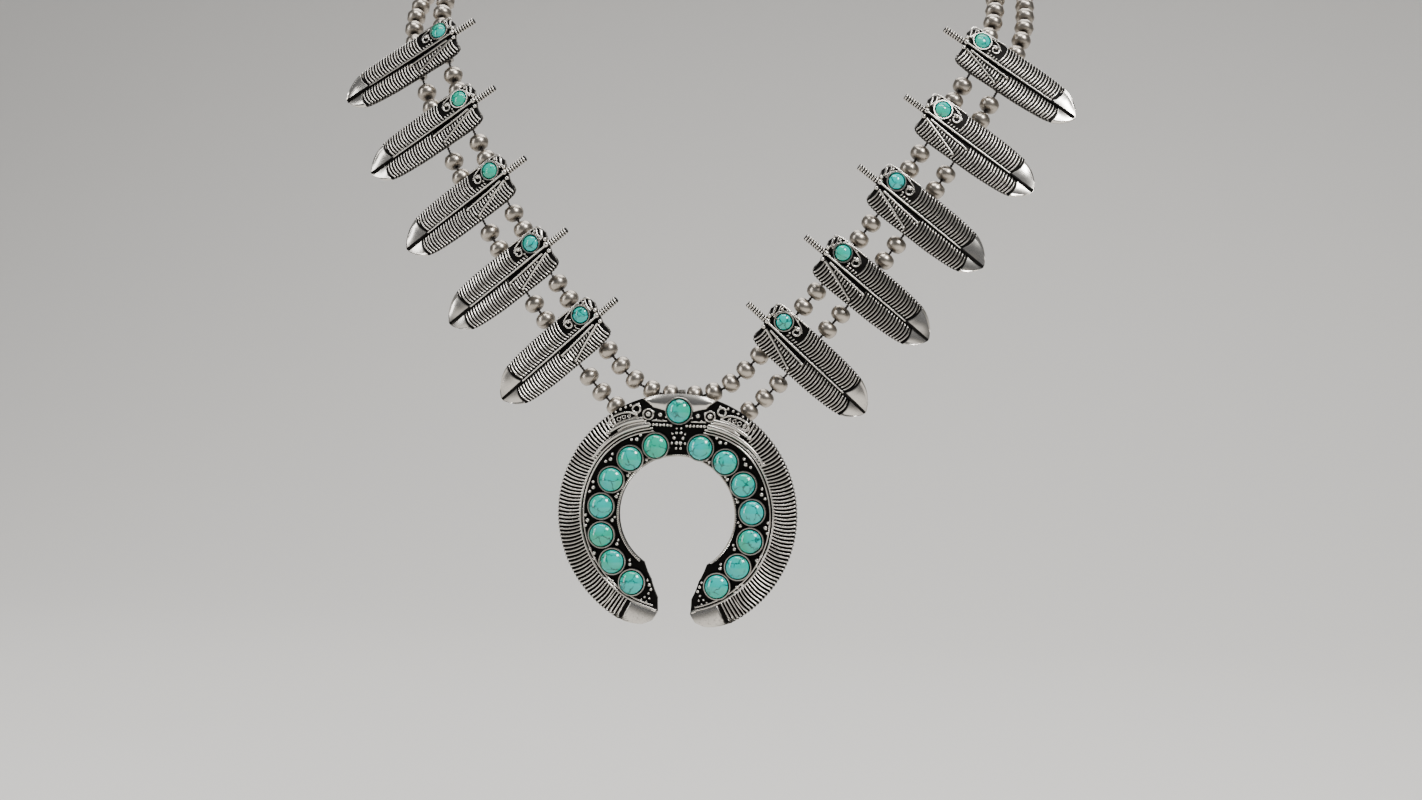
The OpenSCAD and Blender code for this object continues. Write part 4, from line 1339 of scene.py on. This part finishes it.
# %% Granules of the inner band
# Right, up, diameter
UNDER_TOP_STONE = ((0.6, 21.7, 0.9), (1.2, 20.3, 1.0), (0.55, 19.0, 1.1), (1.8, 18.9, 0.8),
                   (2.5, 17.7, 0.7), (0.6, 22.9, 0.7), (1.7, 21.4, 0.7), (0.6, 17.6, 0.8))
BY_THE_TIP = ((7.3, -17.7, 0.8), (6.8, -18.9, 1.0), (6.3, -20.1, 0.9), (6.9, -21.2, 0.7),
              (7.9, -22.2, 0.7), (6.6, -22.5, 0.6), (8.8, -22.9, 0.6), (7.4, -23.4, 0.6))
ROW_GRANULES = 7
ROW_GRANULE_R = 0.45
ROW_GRANULE_PITCH = 0.95


def inner_ornament(bm):
    """The short wire and the row of granules under the top stone, and loose granules."""
    add_wire(bm, [(3.2, 24.7, FACE + 0.2), (7.2, 24.7, FACE + 0.2)], 0.2,
             FACE + 0.1, FACE + 0.35)
    for i in range(ROW_GRANULES):
        join(bm, tone(ball(ROW_GRANULE_R), -0.1, 0.25),
             Matrix.Translation((2.1 + ROW_GRANULE_PITCH * i, 23.6, FACE + 0.3)))
    for x, y, d in UNDER_TOP_STONE + BY_THE_TIP:
        add_granule(bm, (x, y, FACE + 0.15), d, 0.15, 0.3)


print("granules under the top stone:", 2 * (ROW_GRANULES + len(UNDER_TOP_STONE)))


# %% Settings of the side stones
# Between two stones: share of the step, distance outside the row, diameter
BETWEEN_STONES = ((0.5, 3.4, 1.2), (0.35, 4.0, 0.9), (0.65, 4.0, 0.9), (0.5, -3.2, 1.1),
                  (0.36, -3.9, 0.8))
EDGE_KEPT_FREE = 1.2  # granules keep this far from the opening


def settings(bm):
    """Collars of the stones of one side, and the granules between them."""
    for i in range(SIDE_STONES):
        here = stone_row(i)
        join(bm, collar(STONE_D), Matrix.Translation((here.x, here.y, FACE)))
        for share, out, d in BETWEEN_STONES if i < SIDE_STONES - 1 else ():
            p = stone_row(i + share, out)
            p *= max(1, (OPENING_R + EDGE_KEPT_FREE) / p.length)
            add_granule(bm, (p.x, p.y, FACE + 0.2), d, 0.15, 0.3)


print("granules between stones:", 2 * (SIDE_STONES - 1) * len(BETWEEN_STONES))


# %% Eyes on the back
WEB_START = 0.6


def eye():
    """A lug on the back with a hole for one strand."""
    bore = THREAD_D / 2 + BORE_PLAY
    r, half = EYE_D / 2, EYE_T / 2
    bm = along_x(lathe([(bore, -half), (r, -half), (r, half), (bore, half), (bore, -half)], 24))
    join(bm, block(EYE_T, EYE_D, BACK_OFF - WEB_START, (0, 0, BACK_OFF / 2 + WEB_START)))
    return tone(bm, value=0.5)


print("hole of an eye:", round(THREAD_D + 2 * BORE_PLAY, 1), "mm")


# %% Assemble the naja
ROPE_WIRE = 0.17
ROPE_LAY = 1.1
details = shape()
for solder in (long_wires, top_ornament, inner_ornament, settings):
    solder(details)
join(naja, details, keep=True)
join(naja, details, LEFT)
join(naja, collar(STONE_D), Matrix.Translation((0, TOP_STONE, FACE)))
join(naja, rope(-FULL_ARC, FULL_ARC, OPENING_R + 2 * ROPE_WIRE, ROPE_WIRE,
                FACE + 0.16, ROPE_LAY))
for name in STRANDS:
    height = STRANDS[name]["line"][0][2] - PENDANT_Z
    join(naja, eye(), Matrix.Translation((0, height, -BACK_OFF)))
print("naja:", len(naja.faces), "faces")
piece("cast_naja", naja, cast_silver, ["naja"], PENDANT)


# %% Stones of the naja
def naja_stone(name, node, at, flip=Matrix.Identity(4)):
    """A stone in its collar on the crescent's face."""
    bm = cabochon(STONE_D)
    bm.transform(PENDANT @ Matrix.Translation((at.x, at.y, FACE + STONE_PLAY)))
    piece(name, bm, turquoise, [node], flip)


naja_stone("naja_cabochon_top", "naja_stone_top", Vector((0, TOP_STONE)))
for i in range(SIDE_STONES):
    for side, flip in SIDES:
        naja_stone(f"naja_cabochon_{side}_{i + 1}", f"naja_stone_{side}_{i + 1}",
                   stone_row(i), flip)
print("stones on the naja:", 1 + 2 * SIDE_STONES)


# %% [markdown]
# ## Thread
# The beads are strung on dark waxed cord, laid from two yarns. It only shows between
# beads. A Curve object with a round bevel would give a plain string. Two thin bars
# that wind round each other give the lay of the yarns, which catches the light.


# %% Waxed cord
CORD_TURN = 1.4
FIBRE_GRAIN = 0.2 * MM
FIBRE_DEPTH = 0.05 * MM


def waxed_cord():
    """Dark cotton in wax: fine fibres with a dull shine over them."""
    m, tree = new_material("dark_waxed_cord")
    place = add(tree, "ShaderNodeTexCoord").outputs["Object"]
    fibre = add(tree, "ShaderNodeTexNoise", {"Scale": 1 / FIBRE_GRAIN, "Detail": 3},
                {"Vector": place})
    tint = add(tree, "ShaderNodeMix", {"data_type": "RGBA"}, {0: fibre.outputs["Fac"]})
    tint.inputs[6].default_value = colour("#17120f")
    tint.inputs[7].default_value = colour("#3a2f29")
    bump = add(tree, "ShaderNodeBump", {"Strength": 0.4, "Distance": FIBRE_DEPTH},
               {"Height": fibre.outputs["Fac"]})
    output(tree, add(tree, "ShaderNodeBsdfPrincipled", {"Roughness": 0.55, "Coat Weight": 0.2},
                     {"Base Color": tint.outputs[2], "Normal": bump.outputs[0]}).outputs[0])
    return m


cord_material = waxed_cord()
print("waxed cord:", len(cord_material.node_tree.nodes), "nodes")


# %% Cord laid from two yarns
YARN_R = THREAD_D / 4
for name in STRANDS:
    line, at = STRANDS[name]["line"], STRANDS[name]["at"]
    # The cord ends inside the clasp
    stations = np.arange(0, at[-1] - CLASP_LEN / 4, CORD_TURN / 6)
    bm = shape()
    for phase in (0, math.pi):
        half = []
        for s in stations:
            x = unit(pick(s, at, tangent))
            n = square(pick(s, at, normal), x)
            twist = math.tau * s / CORD_TURN + phase
            half.append(pick(s, at, line)
                        + YARN_R * (math.cos(twist) * n + math.sin(twist) * np.cross(n, x)))
        other = [p * (-1, 1, 1) for p in half[:0:-1]]
        join(bm, tone(bar(other + half, YARN_R, 6), value=1))
    print(name, "cord:", len(bm.faces), "faces")
    piece(f"waxed_cord_{name}", bm, cord_material, [f"{name}_thread"])


# %% [markdown]
# ## Clasp
# The clasp at the nape is a plain satin bar that both cords run into. It is a block
# with its long edges rounded over. Four shallow grooves are cut across it: three
# planes slice the bar at each place, and the middle slice is drawn in.


# %% Clasp
CLASP_T = 3.4
CLASP_MARGIN = 1.8  # above the upper cord and below the lower
CLASP_H = CLASP_ROW_GAP + 2 * CLASP_MARGIN
GROOVE_HALF = 0.25
GROOVES = (-CLASP_LEN / 2 + 1.2, -0.6, 0.6, CLASP_LEN / 2 - 1.2)


def clasp():
    """The bar at the nape, with two grooves at its middle and one near each end."""
    bm = block(CLASP_LEN, CLASP_T, CLASP_H)
    long = [e for e in bm.edges if abs(e.verts[0].co.x - e.verts[1].co.x) > 1]
    bmesh.ops.bevel(bm, geom=long, offset=CLASP_T / 2 - 0.05, segments=8, profile=0.5,
                    affect="EDGES", material=-1)
    for x in GROOVES:
        for cut in (x - GROOVE_HALF, x, x + GROOVE_HALF):
            bmesh.ops.bisect_plane(bm, geom=list(bm.verts) + list(bm.edges) + list(bm.faces),
                                   plane_co=(cut, 0, 0), plane_no=(1, 0, 0))
        waist = [v for v in bm.verts if abs(v.co.x - x) < 1e-4]
        bmesh.ops.scale(bm, vec=(1, 0.86, 0.95), verts=waist)
    print("clasp:", len(bm.faces), "faces")
    return tone(bm, value=0.7)


# Brushed to a satin, and a little darker only in faint random patches
clasp_silver = silver("satin_clasp_silver", "#b9b4ab", "#4a4541",
                      rough=(0.3, 0.5), border=(0.2, 0.8), mottle=0.08, grain=0.3 * MM, bump=0.3)
piece("clasp_bar", clasp(), clasp_silver, ["clasp"])


# %% Size of the dressed necklace
# The box of the dressed necklace
low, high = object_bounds()
print("visual box", low, high)
